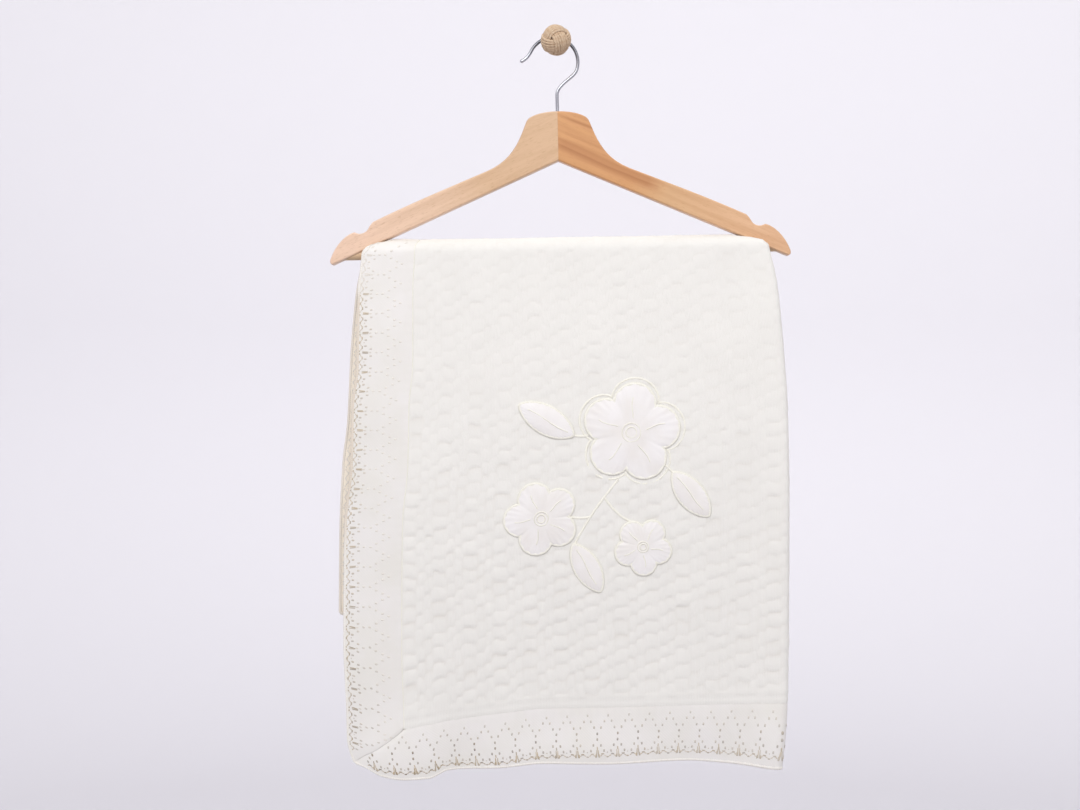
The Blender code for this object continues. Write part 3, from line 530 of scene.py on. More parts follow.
def cloth_middle(across, along):
    """Where a place on the flat cloth lies in the air, on the cloth's middle surface.

    Across: from the outer left edge, round a half circle at the right, to the inner left edge.
    Along: from the front hem up, half round over the bar, and down to the back hem.
    """
    across, along = np.broadcast_arrays(np.asarray(across, float), np.asarray(along, float))
    run = along - FRONT_RUN
    depth = below_bar(along)
    radius = FOLD_RADIUS_AT_BAR + (FOLD_RADIUS - FOLD_RADIUS_AT_BAR) * ease(depth / FOLD_FULL_DEPTH)
    from_fold = np.abs(WIDTH / 2 - across)
    quarter = radius * math.pi / 2
    turn = np.minimum(from_fold / radius, math.pi / 2)
    calm = 1 - ease((from_fold - quarter) / (FOLD_REACH - quarter))
    flat_offset = FOLD_RADIUS_AT_BAR + (radius - FOLD_RADIUS_AT_BAR) * calm
    offset = np.where(from_fold < quarter, radius * np.sin(turn), flat_offset)
    offset = offset * np.where(across < WIDTH / 2, 1.0, -1.0)
    left = through(REACHES, "left", run)
    right = through(REACHES, "right", run)
    share = np.clip((from_fold - quarter) / (WIDTH / 2 - quarter), 0.0, 1.0)
    in_fold = right - radius * (1 - np.cos(turn))
    beyond = right - radius + (left - right + radius) * share
    x = np.where(from_fold < quarter, in_fold, beyond)
    pinch = through(REACHES, "pinch", run)
    x = (x + pinch * np.clip((left + PINCH_ZONE - x) / PINCH_ZONE, 0.0, 1.0) ** 2
         - PINCH_RIGHT * pinch * np.clip((x - right + PINCH_ZONE) / PINCH_ZONE, 0.0, 1.0) ** 2)

    middle = bar_height(x)
    round_y = ARM_THICKNESS / 2 + EDGE_ROOM + CLOTH + PLY_GAP / 2
    tilt = np.clip((x - REACHES[0].left) / (REACHES[0].right - REACHES[0].left), 0.0, 1.0)
    room = CREST_ROOM_LEFT + (CREST_ROOM_RIGHT - CREST_ROOM_LEFT) * tilt
    round_z = BAR_RADIUS + room + CLOTH + PLY_GAP / 2
    angle = np.clip(run / OVER_RUN, 0.0, 1.0) * math.pi
    out_y = -np.cos(angle)
    out_z = np.sin(angle)
    z = middle + round_z * out_z
    z = z + (FRONT_HEM_Z - middle) * np.clip(-run / FRONT_RUN, 0.0, None)
    z = z + (BACK_HEM_Z - middle) * np.clip((run - OVER_RUN) / BACK_RUN, 0.0, None)
    y = HANG_Y + round_y * out_y

    hem = through(DROOPS, "hem", across)
    seam = through(DROOPS, "seam", across)
    droop = hem + (seam - hem) * np.clip(along / BORDER, 0.0, 1.0)
    z = z - droop * (1 - ease((along - BORDER) / DROOP_FADE))
    strength = ease(depth / SWELL_START)
    y = y - np.where(run < 0, swelling(FRONT_SWELLS, x, z), 0.0) * strength
    y = y + np.where(run > OVER_RUN, swelling(BACK_SWELLS, x, z), 0.0) * strength
    steep = np.hypot(out_y / round_y, out_z / round_z)
    y = y + offset * out_y / round_y / steep
    z = z + offset * out_z / round_z / steep
    return np.stack([x, y, z], axis=-1)


def on_cloth(across, along, lift):
    """A place on the flat cloth, `lift` out from the middle surface along its normal.

    The normal is the cross product of two short steps along the surface.
    """
    across, along, lift = np.broadcast_arrays(across, along, lift)
    inside = np.clip(across, SHORT_STEP, WIDTH - SHORT_STEP)
    up = np.clip(along, SHORT_STEP, LENGTH - SHORT_STEP)
    east = cloth_middle(inside + SHORT_STEP, up) - cloth_middle(inside - SHORT_STEP, up)
    north = cloth_middle(inside, up + SHORT_STEP) - cloth_middle(inside, up - SHORT_STEP)
    normal = np.cross(east, north)
    normal /= np.linalg.norm(normal, axis=-1, keepdims=True)
    return cloth_middle(across, along) + lift[..., None] * normal


# The knitted pillows: width of each column, how far up its tucks stand, in pillows, and how much of a
# pillow's height is left in its tucks.
Column = namedtuple("Column", "width step base")
COLUMNS = (Column(0.0135, 0.0, 0.0), Column(0.0077, 1 / 3, 0.18), Column(0.0077, -1 / 3, 0.18))
REPEAT = sum(column.width for column in COLUMNS)
PILLOW = 0.0141                   # one pillow, tuck to tuck
PILLOW_LIFT = 0.00118             # from a tuck up to a pillow's top
TUCK_DEPTH = 0.0005               # of that, below the cloth's flat face
COLUMN_BLEND = 0.0040             # width over which one column passes into the next
CROWDING = 0.62                   # how strongly the mesh's rows crowd into the tucks
WANDER = 0.0007                   # how far the columns and the rows wander from true
TUCK_WAVE = 0.0005                # how far a tuck rises and falls across its column
SAG = 0.00025                     # slow rise and fall of the knit under its pillows
# The rows hang in soft bows from a crest this far in from the side edge.  How strongly they bow depends
# on the side of the crest, and changes over a low and a high stretch of the panel (start, length).
ROW_CREST = 0.25
LOW_STRETCH, HIGH_STRETCH = (0.10, 0.14), (0.30, 0.17)
BOW_TO_EDGE, BOW_TO_EDGE_MIDWAY = 0.25, 0.60
BOW_TO_FOLD, BOW_TO_FOLD_BELOW_TOP, BOW_TO_FOLD_AT_HEM = 0.15, 0.55, 0.15
# How full the pillows stand: over the bar, and how much fuller below it (by, from what depth, over what).
FULL_AT_BAR = 0.47
FULLER_BELOW = ((0.44, 0.03, 0.27), (0.16, 0.24, 0.08))
FLATTER_BY_FOLD = (0.25, 0.24, 0.16)    # flatter towards the fold (by, from how far in, over what)
FULL_AT_HEM = 0.15                # share left in the flat strip above a hem's seam
HEM_FLAT, HEM_RISE, SIDE_RISE = 0.009, 0.006, 0.004   # its height, and the stretches to full height
PRESSED = 0.85                    # share that a patch or a stem takes away
PRESSED_REACH = 0.004             # how far outside a patch or a stem the knit is still pressed
# Soft ridges of the turned-in edges above a hem's seam, the dip of that seam, and that of a side seam.
Ridge = namedtuple("Ridge", "height middle half_width")
HEM_RIDGES = (Ridge(0.0007, 0.0105, 0.0022), Ridge(0.0005, 0.0030, 0.0026), Ridge(-0.0001, 0.0, 0.0022))
SIDE_SEAM_DIP = Ridge(-0.0003, 0.0, 0.0014)
OUTER_LINES, INNER_LINES = 181, 89
PANEL_ROWS = 331
RIB_SCALE = 212.20659             # of the wave that draws the knit's ribs, 1.48 mm apart
RNG = np.random.default_rng(7)
PILLOW_SIZES = RNG.uniform(0.50, 1.25, (128, 128))
PILLOW_SHIFTS = RNG.uniform(-0.06, 0.06, (128, 128))
TUCK_TIES = RNG.uniform(0.0, 0.40, (128, 128))     # how much of a tuck is filled up

# Appliqué patches on the front: middle on the flat cloth, size, turn, and kind.
Patch = namedtuple("Patch", "name kind across along length breadth turn")
PATCHES = (
    Patch("patch_flower_large", "flower", 0.272, 0.322, 0.094, 0.094, 10.0),
    Patch("patch_flower_middle", "flower", 0.188, 0.240, 0.070, 0.070, 40.0),
    Patch("patch_flower_small", "flower", 0.285, 0.212, 0.054, 0.054, -15.0),
    Patch("patch_leaf_upper", "leaf", 0.190, 0.335, 0.060, 0.026, 150.0),
    Patch("patch_leaf_right", "leaf", 0.330, 0.262, 0.054, 0.024, -50.0),
    Patch("patch_leaf_lower", "leaf", 0.232, 0.192, 0.052, 0.023, -60.0),
)
PETALS = 5
PETAL_DIP = 0.30                  # how deep the outline dips between petals


def petal_dips(angles):
    """How far a flower's outline dips in between its petals: dip (1 - |cos(5a/2)|^0.7)."""
    return PETAL_DIP * (1 - np.abs(np.cos(angles * PETALS / 2)) ** 0.7)


def patch_outline(patch, angles, out=0.0):
    """Outline about the patch's middle, or one further out by a part of its half length.

    A flower reaches 1 less its dips, and a leaf is pointed.
    """
    if patch.kind == "flower":
        reach = 1 + out - petal_dips(angles)
        return patch.length / 2 * reach * np.cos(angles), patch.breadth / 2 * reach * np.sin(angles)
    slim = np.sin(angles) * np.abs(np.sin(angles)) ** 0.5
    return patch.length / 2 * np.cos(angles), patch.breadth / 2 * slim


def on_patch(patch, x, z):
    """Places about a patch's middle, turned and moved to the flat cloth."""
    turn = math.radians(patch.turn)
    return (patch.across + x * math.cos(turn) - z * math.sin(turn),
            patch.along + x * math.sin(turn) + z * math.cos(turn))


def patch_reach(patch, across, along):
    """How far out a place lies on a patch: 0 at its middle, 1 on its outline."""
    turn = math.radians(patch.turn)
    x = (across - patch.across) * math.cos(turn) + (along - patch.along) * math.sin(turn)
    z = (along - patch.along) * math.cos(turn) - (across - patch.across) * math.sin(turn)
    if patch.kind == "flower":
        return np.hypot(x, z) / (patch.length / 2 * (1 - petal_dips(np.arctan2(z, x))))
    side = np.clip(np.abs(x) / (patch.length / 2), 0, 1)
    half = patch.breadth / 2 * np.maximum(1 - side ** 2, 0) ** 0.75 + 1e-4
    return np.maximum(np.abs(z) / half, np.abs(x) / (patch.length / 2))


Stem = namedtuple("Stem", "start_a start_b bend_a bend_b end_a end_b")
STEMS = (
    Stem(0.2600, 0.2770, 0.2380, 0.2500, 0.2195, 0.2140),
    Stem(0.2135, 0.2420, 0.2250, 0.2385, 0.2348, 0.2413),
    Stem(0.2840, 0.2315, 0.2620, 0.2380, 0.2471, 0.2600),
    Stem(0.3126, 0.2827, 0.3085, 0.2870, 0.3045, 0.2905),
    Stem(0.2160, 0.3200, 0.2230, 0.3180, 0.2310, 0.3200),
)


def stem_path(stem):
    """A stem on the flat cloth: (1 - t)^2 start + 2t(1 - t) bend + t^2 end."""
    t = np.linspace(0, 1, 40)[:, None]
    start, bend, end = np.reshape(stem, (3, 2))
    return start * (1 - t) ** 2 + 2 * bend * t * (1 - t) + end * t * t


def pressed_by_patches(across, along):
    """One where a patch or a stem holds the knit flat, dying out to nought beside it."""
    held = np.zeros(np.broadcast(across, along).shape)
    for stem in STEMS:
        for place in stem_path(stem)[::3]:
            away = np.hypot(across - place[0], along - place[1])
            held = np.maximum(held, np.exp(-(away / PRESSED_REACH) ** 2))
    for patch in PATCHES:
        margin = PRESSED_REACH / (patch.breadth / 2)
        held = np.maximum(held, 1 - ease((patch_reach(patch, across, along) - 1) / margin))
    return held


def row_rise(across, along):
    """How far the knit's rows hang out of level: -bow/2 (across - crest)^2, with bow by side and height."""
    near = np.minimum(across, WIDTH - across)
    low = 1 - ease((along - LOW_STRETCH[0]) / LOW_STRETCH[1])
    high = ease((along - HIGH_STRETCH[0]) / HIGH_STRETCH[1])
    to_edge = BOW_TO_EDGE + BOW_TO_EDGE_MIDWAY * (1 - low) * (1 - high)
    to_fold = BOW_TO_FOLD + BOW_TO_FOLD_BELOW_TOP * (1 - high) + BOW_TO_FOLD_AT_HEM * low
    return -0.5 * np.where(near < ROW_CREST, to_edge, to_fold) * (near - ROW_CREST) ** 2


def pillow_phases(across, along):
    """For each column: its weight at a place, its pillows' phase there, their fullness, and its base.

    A column's rows are level across it, and step up or down from one column to the next.
    """
    across = across + WANDER * (np.sin(along * 170 + across * 60) + np.sin(along * 77 - across * 140 + 0.6))
    along = along + WANDER * (np.sin(across * 213 + along * 97) + np.sin(across * 131 - along * 181 + 1.7))
    start = (across - BORDER) / REPEAT
    turn = np.floor(start)
    place = (start - turn) * REPEAT
    begin = 0.0
    for number, column in enumerate(COLUMNS):
        middle = begin + column.width / 2
        wrap = np.round((place - middle) / REPEAT)
        away = np.abs(place - middle - wrap * REPEAT)
        weight = 1 - ease((away - (column.width - COLUMN_BLEND) / 2) / COLUMN_BLEND)
        across_cell = ((turn + wrap) * 3 + number).astype(int) % 128
        line = BORDER + (turn + wrap) * REPEAT + middle
        wave = TUCK_WAVE * np.sin((place - middle - wrap * REPEAT) * 420 + across_cell * 2.4 + along * 31)
        step = (along + wave - row_rise(line, along)) / PILLOW - column.step + PILLOW_SHIFTS[across_cell, 0]
        cell = np.floor(step).astype(int)
        phase = step - cell
        tied = ((1 - phase) * TUCK_TIES[across_cell, cell % 128]
                + phase * TUCK_TIES[across_cell, (cell + 1) % 128])
        yield weight, phase, PILLOW_SIZES[across_cell, cell % 128], column.base + (1 - column.base) * tied
        begin += column.width


def relief_strength(across, along):
    """How full the pillows stand: less over the bar, at the top of the front, by the fold and patches."""
    depth = below_bar(along)
    near = np.minimum(across, WIDTH - across)
    full = sum((by * ease((depth - start) / over) for by, start, over in FULLER_BELOW), start=FULL_AT_BAR)
    by, start, over = FLATTER_BY_FOLD
    full = full * (1 - by * ease((near - start) / over))
    ends = np.minimum(along, LENGTH - along) - BORDER
    full = full * (FULL_AT_HEM + (1 - FULL_AT_HEM) * ease((ends - HEM_FLAT) / HEM_RISE))
    full = full * ease((near - BORDER) / SIDE_RISE)
    return full * (1 - PRESSED * pressed_by_patches(across, along))


def tuck_of(across, along):
    """Height of the pillows, from 0 in a tuck to 1 on top: sin(pi p^0.72)^0.7 up each pillow."""
    height = np.zeros(np.broadcast(across, along).shape)
    for weight, phase, size, base in pillow_phases(across, along):
        swell = np.sin(math.pi * np.clip(phase, 0, 1) ** 0.72) ** 0.7
        height = height + weight ** 1.7 * (base + (1 - base) * swell * size)
    return height


def soft_ridge(ridge, away):
    """A soft ridge or dip along a line: height * exp(-((away - middle)/half width)^2)."""
    return ridge.height * np.exp(-((away - ridge.middle) / ridge.half_width) ** 2)


def seam_ridges(across, along):
    """Two soft ridges above each hem's seam, over the turned-in edges, and a dip along every seam."""
    ends = np.minimum(along, LENGTH - along) - BORDER
    sides = np.minimum(across, WIDTH - across) - BORDER
    return sum(soft_ridge(ridge, ends) for ridge in HEM_RIDGES) + soft_ridge(SIDE_SEAM_DIP, sides)


def knit_lift(across, along):
    """Right side of the knit above the cloth's middle: half its thickness, pillows, sag and ridges."""
    strength = relief_strength(across, along)
    pillows = (PILLOW_LIFT * tuck_of(across, along) - TUCK_DEPTH) * strength
    sag = SAG * np.sin(across * 41 + 2 * np.sin(along * 23)) * np.sin(along * 37 + 1.3)
    return CLOTH / 2 + pillows + sag * strength + seam_ridges(across, along)


def crowd_rows(across, along):
    """Rows of the mesh moved towards the nearest tuck: along - c P sin(2 pi p)/(2 pi)."""
    shift = np.zeros_like(along)
    for weight, phase, _, _ in pillow_phases(across, along):
        shift = shift - weight * CROWDING * PILLOW / (2 * math.pi) * np.sin(2 * math.pi * phase)
    ends = np.minimum(along, LENGTH - along) - BORDER
    return along + shift * ease((ends - 0.001) / 0.012)


def closed_sheet(across, along, lift, under, every=1):
    """Points, faces and UVs of a closed thin sheet: right side at `lift`, reverse at `under`.

    The reverse keeps every n-th line, and the rim's faces run from its edges to all the points of the
    right side's edge.  The last value says which points of the right side the reverse has kept.
    """
    rows, columns = across.shape
    keep_rows = np.unique(np.append(np.arange(0, rows, every), rows - 1))
    keep_columns = np.unique(np.append(np.arange(0, columns, every), columns - 1))
    kept = np.ix_(keep_rows, keep_columns)
    right = on_cloth(across, along, lift)
    reverse = on_cloth(across[kept], along[kept], np.broadcast_to(under, across.shape)[kept])
    top = np.arange(rows * columns).reshape(rows, columns)
    low = rows * columns + np.arange(reverse.shape[0] * reverse.shape[1]).reshape(reverse.shape[:2])
    faces = grid_faces(rows, columns).tolist()
    faces += grid_faces(*low.shape, first=rows * columns)[:, ::-1].tolist()
    for edge, below, ends, forward in ((top[0], low[0], keep_columns, True),
                                       (top[-1], low[-1], keep_columns, False),
                                       (top[:, -1], low[:, -1], keep_rows, True),
                                       (top[:, 0], low[:, 0], keep_rows, False)):
        for number, (start, stop) in enumerate(zip(ends[:-1], ends[1:])):
            stretch = edge[start:stop + 1].tolist()
            pair = below[number:number + 2].tolist()
            faces.append(pair + stretch[::-1] if forward else pair[::-1] + stretch)
    flat = np.stack([across / WIDTH, along / LENGTH], -1)
    uv = np.concatenate([flat.reshape(-1, 2), flat[kept].reshape(-1, 2)])
    return np.concatenate([right.reshape(-1, 3), reverse.reshape(-1, 3)]), faces, uv, kept


def build_panel():
    """The knit panel: lines 2.1 mm apart on the outer half, 4.2 mm on the inner one."""
    half = WIDTH / 2
    outer = np.linspace(BORDER, half, OUTER_LINES)
    inner = np.linspace(half, WIDTH - BORDER, INNER_LINES)[1:]
    ups = np.linspace(BORDER, LENGTH - BORDER, PANEL_ROWS)
    across, along = np.meshgrid(np.concatenate([outer, inner]), ups)
    along = crowd_rows(across, along)
    lift = knit_lift(across, along)
    points, faces, uv, kept = closed_sheet(across, along, lift, -CLOTH / 2, every=6)
    # The tuck attribute carries painted shade: the knit's colour is darkened most in the tucks.
    tuck = np.clip(1 - tuck_of(across, along) / 0.55, 0, 1) * relief_strength(across, along)
    return mesh_of("knit_panel", points, faces, uv=uv,
                   tuck=np.concatenate([tuck.ravel(), np.zeros(tuck[kept].size)]))


# Brushed cotton knit in ivory: matt with a faint bloom, ribs 1.5 mm apart, and painted shade down in
# the tucks, a darker and warmer tone.
knit, tree, shader = new_material("brushed cotton knit, ivory", Roughness=0.95, Sheen_Weight=0.12,
                                  Sheen_Roughness=0.5)
flat = add_node(tree, "UVMap", uv_map="cloth").outputs[0]
ribs = add_node(tree, "TexWave", {"Vector": add_node(tree, "Mapping", {
    "Vector": flat, "Scale": (WIDTH, LENGTH, 1.0)}).outputs[0], "Scale": RIB_SCALE,
    "Distortion": 3.0, "Detail": 1.5, "Detail Scale": 2.0}, bands_direction="X")
mottle = add_node(tree, "TexNoise", {"Vector": add_node(tree, "TexCoord").outputs["Object"],
                                     "Scale": 34.0, "Detail": 5.0})
fuzz = add_node(tree, "TexNoise", {"Vector": add_node(tree, "TexCoord").outputs["Object"],
                                   "Scale": 1500.0, "Detail": 3.0})
clean = add_node(tree, "ValToRGB", {"Fac": mottle.outputs["Fac"]}, stops=(
    (0.30, linear("#eeece5")), (0.70, linear("#f1efe8"))))
# Painted shade: the colour turns towards a darker, warmer tone down in the tucks, by the tuck attribute.
tuck_painted_shade = add_node(tree, "Mix", {0: add_node(tree, "Math", {
    0: add_node(tree, "Attribute", attribute_name="tuck").outputs["Fac"], 1: 0.32},
    operation="MULTIPLY").outputs[0], 6: clean.outputs[0], 7: linear("#d3cabb")}, data_type="RGBA")
tree.links.new(tuck_painted_shade.outputs[2], shader.inputs["Base Color"])
pile = add_node(tree, "Math", {0: ribs.outputs["Fac"], 1: 0.45, 2: fuzz.outputs["Fac"]},
                operation="MULTIPLY_ADD")
tree.links.new(add_node(tree, "Bump", {"Height": pile.outputs[0], "Strength": 0.35,
                                       "Distance": 0.0004}).outputs[0], shader.inputs["Normal"])
panel = show("knit_panel", build_panel(), knit, ["panel"])

# ================================================================ the satin border
# Four lined satin strips, mitred at the corners and sewn to the knit.  A seam line shows between each
# pair, and the satin puckers a little beside its stitching.
MITRE_ZONE = 0.086                # length over which the strips' rows fan into the mitre
STRIP_SEAM = 0.0002               # room between two strips at their mitre
EDGE_INSET = 0.0014               # the strip ends inside the rolled edging
PAINTED_LIGHT_AND_YELLOWING = (0.018, 0.011)         # in from the inner half's edge: where the satin starts to turn lighter and warmer, painted light that lifts the shade between the plies, with a yellowing tint
Pucker = namedtuple("Pucker", "height spacing reach")
SEAM_PUCKER = Pucker(0.00022, 0.0083, 0.007)
EDGE_PUCKER = Pucker(0.00018, 0.0061, 0.006)
SATIN_FULLNESS, SATIN_WAVE = 0.0006, 0.0003
SATIN_SEAM_DIP, MITRE_DIP = Ridge(0.00015, 0.0, 0.0022), Ridge(0.0010, 0.0, 0.0012)
Strip = namedtuple("Strip", "name node total")
STRIPS = (
    Strip("satin_outer_side", "border_outer_side", LENGTH),
    Strip("satin_inner_side", "border_inner_side", LENGTH),
    Strip("satin_front_hem", "border_front_hem", WIDTH),
    Strip("satin_back_hem", "border_back_hem", WIDTH),
)
MIRRORED = ("satin_inner_side", "satin_front_hem")   # strips whose places count the other way round
ROW_STEP = 0.0028


def strip_place(strip, place, inset):
    """A place along a strip, and in from its outer edge, as a place on the flat cloth."""
    return {"satin_outer_side": (inset, place), "satin_inner_side": (WIDTH - inset, place),
            "satin_front_hem": (place, inset), "satin_back_hem": (place, LENGTH - inset)}[strip.name]


def into_mitre(places, inset, total):
    """Rows of a strip: the panel's own, fanned near both ends out to the mitre at 45 degrees."""
    start = inset + STRIP_SEAM / math.sqrt(2)
    low = start + (MITRE_ZONE - start) * (places - BORDER) / (MITRE_ZONE - BORDER)
    high = total - start - (MITRE_ZONE - start) * (total - BORDER - places) / (MITRE_ZONE - BORDER)
    return np.where(places < MITRE_ZONE, low, np.where(places > total - MITRE_ZONE, high, places))


def satin_lift(place, inset, total):
    """Right side of the satin above the cloth's middle.

    Half the thickness, a soft fullness across the strip, sin(pi i/B)^0.6, a slow wave, puckers that
    die out in from both long edges, and a dip at the seam and at the mitres.
    """
    inside = np.clip(inset / BORDER, 0, 1)
    mitre = np.minimum(place, total - place) - inset
    seam, edge = SEAM_PUCKER, EDGE_PUCKER
    by_seam = seam.height * np.sin(place * 2 * math.pi / seam.spacing + 1.5 * np.sin(place * 47))
    by_edge = edge.height * np.sin(place * 2 * math.pi / edge.spacing)
    pucker = by_seam * np.exp(-(BORDER - inset) / seam.reach) + by_edge * np.exp(-inset / edge.reach)
    wave = SATIN_WAVE * np.sin(place * 61 + 1.7 * np.sin(place * 17)) * np.sin(math.pi * inside)
    full = SATIN_FULLNESS * np.sin(math.pi * inside) ** 0.6
    dips = soft_ridge(SATIN_SEAM_DIP, BORDER - inset) + soft_ridge(MITRE_DIP, mitre)
    return CLOTH / 2 + full + pucker + wave - dips


def build_strip(strip):
    """One closed satin strip, with lines 2.3 mm apart across it and 2.8 mm apart along it."""
    count = round((strip.total - 2 * BORDER) / ROW_STEP)
    insets = np.concatenate([np.linspace(EDGE_INSET, BORDER - 0.002, 24),
                             [BORDER - 0.0011, BORDER + 0.0003]])
    inset, place = np.meshgrid(insets, np.linspace(BORDER, strip.total - BORDER, count))
    place = into_mitre(place, inset, strip.total)
    across, along = strip_place(strip, place, inset)
    if strip.name in MIRRORED:
        across, along, inset, place = across[:, ::-1], along[:, ::-1], inset[:, ::-1], place[:, ::-1]
    lift = satin_lift(place, inset, strip.total)
    points, faces, uv, _ = closed_sheet(across, along, lift, -CLOTH / 2, every=3)
    return mesh_of(strip.name, points, faces, uv=uv)


# Polyester satin, off-white: a low soft sheen, with a fine twill 2 mm apart and faint cloudiness, and
# lighter and warmer along the inner half's open edge: painted light that lifts the shade between the
# plies, with a yellowing tint.
satin, tree, shader = new_material("polyester satin, off-white", Roughness=0.56, Sheen_Weight=0.1)
flat = add_node(tree, "UVMap", uv_map="cloth").outputs[0]
weave = add_node(tree, "TexWave", {"Vector": add_node(tree, "Mapping", {
    "Vector": flat, "Scale": (WIDTH, LENGTH, 1.0)}).outputs[0], "Scale": 220.0, "Distortion": 1.0},
    bands_direction="DIAGONAL")
cloud = add_node(tree, "TexNoise", {"Vector": add_node(tree, "TexCoord").outputs["Object"],
                                    "Scale": 22.0, "Detail": 4.0})
ivory = add_node(tree, "ValToRGB", {"Fac": cloud.outputs["Fac"]}, stops=(
    (0.35, linear("#ece9e1")), (0.65, linear("#f0ede8"))))
# Painted light with a yellowing tint: the satin is lighter and warmer within 11 to 18 mm of the inner
# half's open edge, lifting the shade between the plies.
aged = add_node(tree, "MapRange", {"Value": add_node(tree, "SeparateXYZ", {"Vector": flat}).outputs["X"],
                                   "From Min": 1 - PAINTED_LIGHT_AND_YELLOWING[0] / WIDTH,
                                   "From Max": 1 - PAINTED_LIGHT_AND_YELLOWING[1] / WIDTH})
tree.links.new(add_node(tree, "Mix", {0: aged.outputs[0], 6: ivory.outputs[0], 7: linear("#fff5e4")},
                        data_type="RGBA").outputs[2], shader.inputs["Base Color"])
tree.links.new(add_node(tree, "Bump", {"Height": weave.outputs["Fac"], "Strength": 0.10,
                                       "Distance": 0.0003}).outputs[0], shader.inputs["Normal"])
strips = {strip.name: show(strip.name, build_strip(strip), satin, [strip.node])
          for strip in STRIPS}

# ================================================================ the border's embroidery
# A bronze thread pattern worked over the satin, the same motif every 19 to 20 mm: a zigzag along the
# edge, a little spire on it, and above the spire a chevron of single stitches.
MOTIF = 0.0195                    # width of the zigzag's chart
STITCH_LIFT = 0.00035
UNEVEN_ALONG, UNEVEN_INSET, UNEVEN_TURN = 0.00018, 0.00025, 0.12   # how unevenly it is worked
COLOUR_LEFT, UNEVEN_LEFT, UNEVEN_GOLD = 0.92, 0.30, 0.35           # and how unevenly it is coloured
CLEAR_OF_MITRE, CLEAR_OF_SEAM = 0.0022, 0.004
FIRST_ON_SIDE, MOTIF_ON_SIDE = 0.0240, 0.01897     # from the corner to the first spire, and on
FIRST_ON_HEM, MOTIF_ON_HEM = 0.0247, 0.01982
LAST_ON_SIDE = 0.0175             # the last spire stands at least this far from the back corner
SIDE_NEARER_EDGE = 0.0010         # the outer side's pattern is worked this much nearer to its edge
# Washing has faded the pattern.  Each row takes away a share of the colour that is left: `least`, and
# `more` on top over a stretch along the strip, all of it only from an inset on, over a reach further in.
Wash = namedtuple("Wash", "strip least more start stretch inset reach")
UP_THE_SIDE = (0.05, 0.17)
EVERYWHERE = (0.0, 0.001)
WASHES = (
    Wash("satin_front_hem", 0.08, 0.34, 0.0, 0.42, *EVERYWHERE),
    Wash("satin_outer_side", 0.42, 0.56, *UP_THE_SIDE, 0.0095, 0.0120),
    Wash("satin_outer_side", 0.25, 0.13, *UP_THE_SIDE, *EVERYWHERE),
    Wash("satin_outer_side", 0.00, 0.85, 0.448, 0.030, *EVERYWHERE),
    Wash("satin_outer_side", 0.80, 0.00, *UP_THE_SIDE, 0.0335, 0.0035),
    Wash("satin_back_hem", 0.25, 0.00, *UP_THE_SIDE, *EVERYWHERE),
    Wash("satin_inner_side", 0.95, 0.00, *UP_THE_SIDE, *EVERYWHERE),
)
GOLD_UP_THE_SIDE = 0.4            # how much more golden the thread looks there
# The pattern isn't worked true to the front hem: how far in from its line it stands, along the hem.
Drift = namedtuple("Drift", "place inset")
DRIFTS = (Drift(0.0, 0.0), Drift(0.030, 0.0018), Drift(0.055, 0.0030), Drift(0.095, 0.0015),
          Drift(0.135, 0.0), Drift(0.200, 0.0025), Drift(0.290, 0.0046), Drift(0.852, 0.0050))
Stitch = namedtuple("Stitch", "beside inset half_length half_width turn fade gold")
SPIRE = tuple(Stitch(beside, inset, reach, 0.00055, lean, 0.10, 0.7) for beside, inset, reach, lean in (
    (-0.0008, 0.0074, 0.0043, 0.05), (0.0008, 0.0074, 0.0043, -0.05), (0.0, 0.0126, 0.0018, 0.0),
    (-0.0018, 0.0050, 0.0020, 0.10), (0.0018, 0.0050, 0.0020, -0.10)))
SINGLES = tuple(Stitch(beside, inset, 0.0015, 0.00095, 0.0, fade, 0.1) for beside, inset, fade in (
    (-0.0065, 0.0100, 0.34), (0.0065, 0.0100, 0.34), (-0.0036, 0.0154, 0.22), (0.0036, 0.0154, 0.22),
    (0.0, 0.0207, 0.12), (0.0, 0.0267, 0.06), (-0.0033, 0.0326, 0.45), (0.0033, 0.0326, 0.45),
    (-0.0066, 0.0388, 0.56), (0.0066, 0.0388, 0.56), (0.00975, 0.0445, 0.66)))
ZIGZAG = tuple(Stitch(beside * MOTIF, inset, long, wide, turn, fade, gold)
               for beside, inset, long, wide, turn, fade, gold in (
    (-0.26, 0.0068, 0.0017, 0.00070, 1.57, 0.0, 0.3), (0.26, 0.0068, 0.0017, 0.00070, 1.57, 0.0, 0.3),
    (-0.07, 0.0042, 0.0010, 0.00065, 1.57, 0.1, 0.4), (0.07, 0.0042, 0.0010, 0.00065, 1.57, 0.1, 0.4),
    (0.50, 0.0044, 0.0014, 0.00070, 1.57, 0.0, 0.4), (0.50, 0.0088, 0.0006, 0.00060, 0.0, 0.35, 0.3),
    (-0.17, 0.0055, 0.0013, 0.00050, -1.0, 0.25, 0.8), (0.17, 0.0055, 0.0013, 0.00050, 1.0, 0.25, 0.8),
    (-0.38, 0.0055, 0.0014, 0.00050, 1.0, 0.25, 0.8), (0.38, 0.0055, 0.0014, 0.00050, -1.0, 0.25, 0.8)))
SIDE_SPIRE = (Stitch(-0.0006, 0.0098, 0.0036, 0.00058, 0.03, 0.0, 0.35),
              Stitch(0.0006, 0.0098, 0.0036, 0.00058, -0.03, 0.0, 0.35),
              Stitch(0.0, 0.0146, 0.0014, 0.00058, 0.0, 0.5, 0.35))


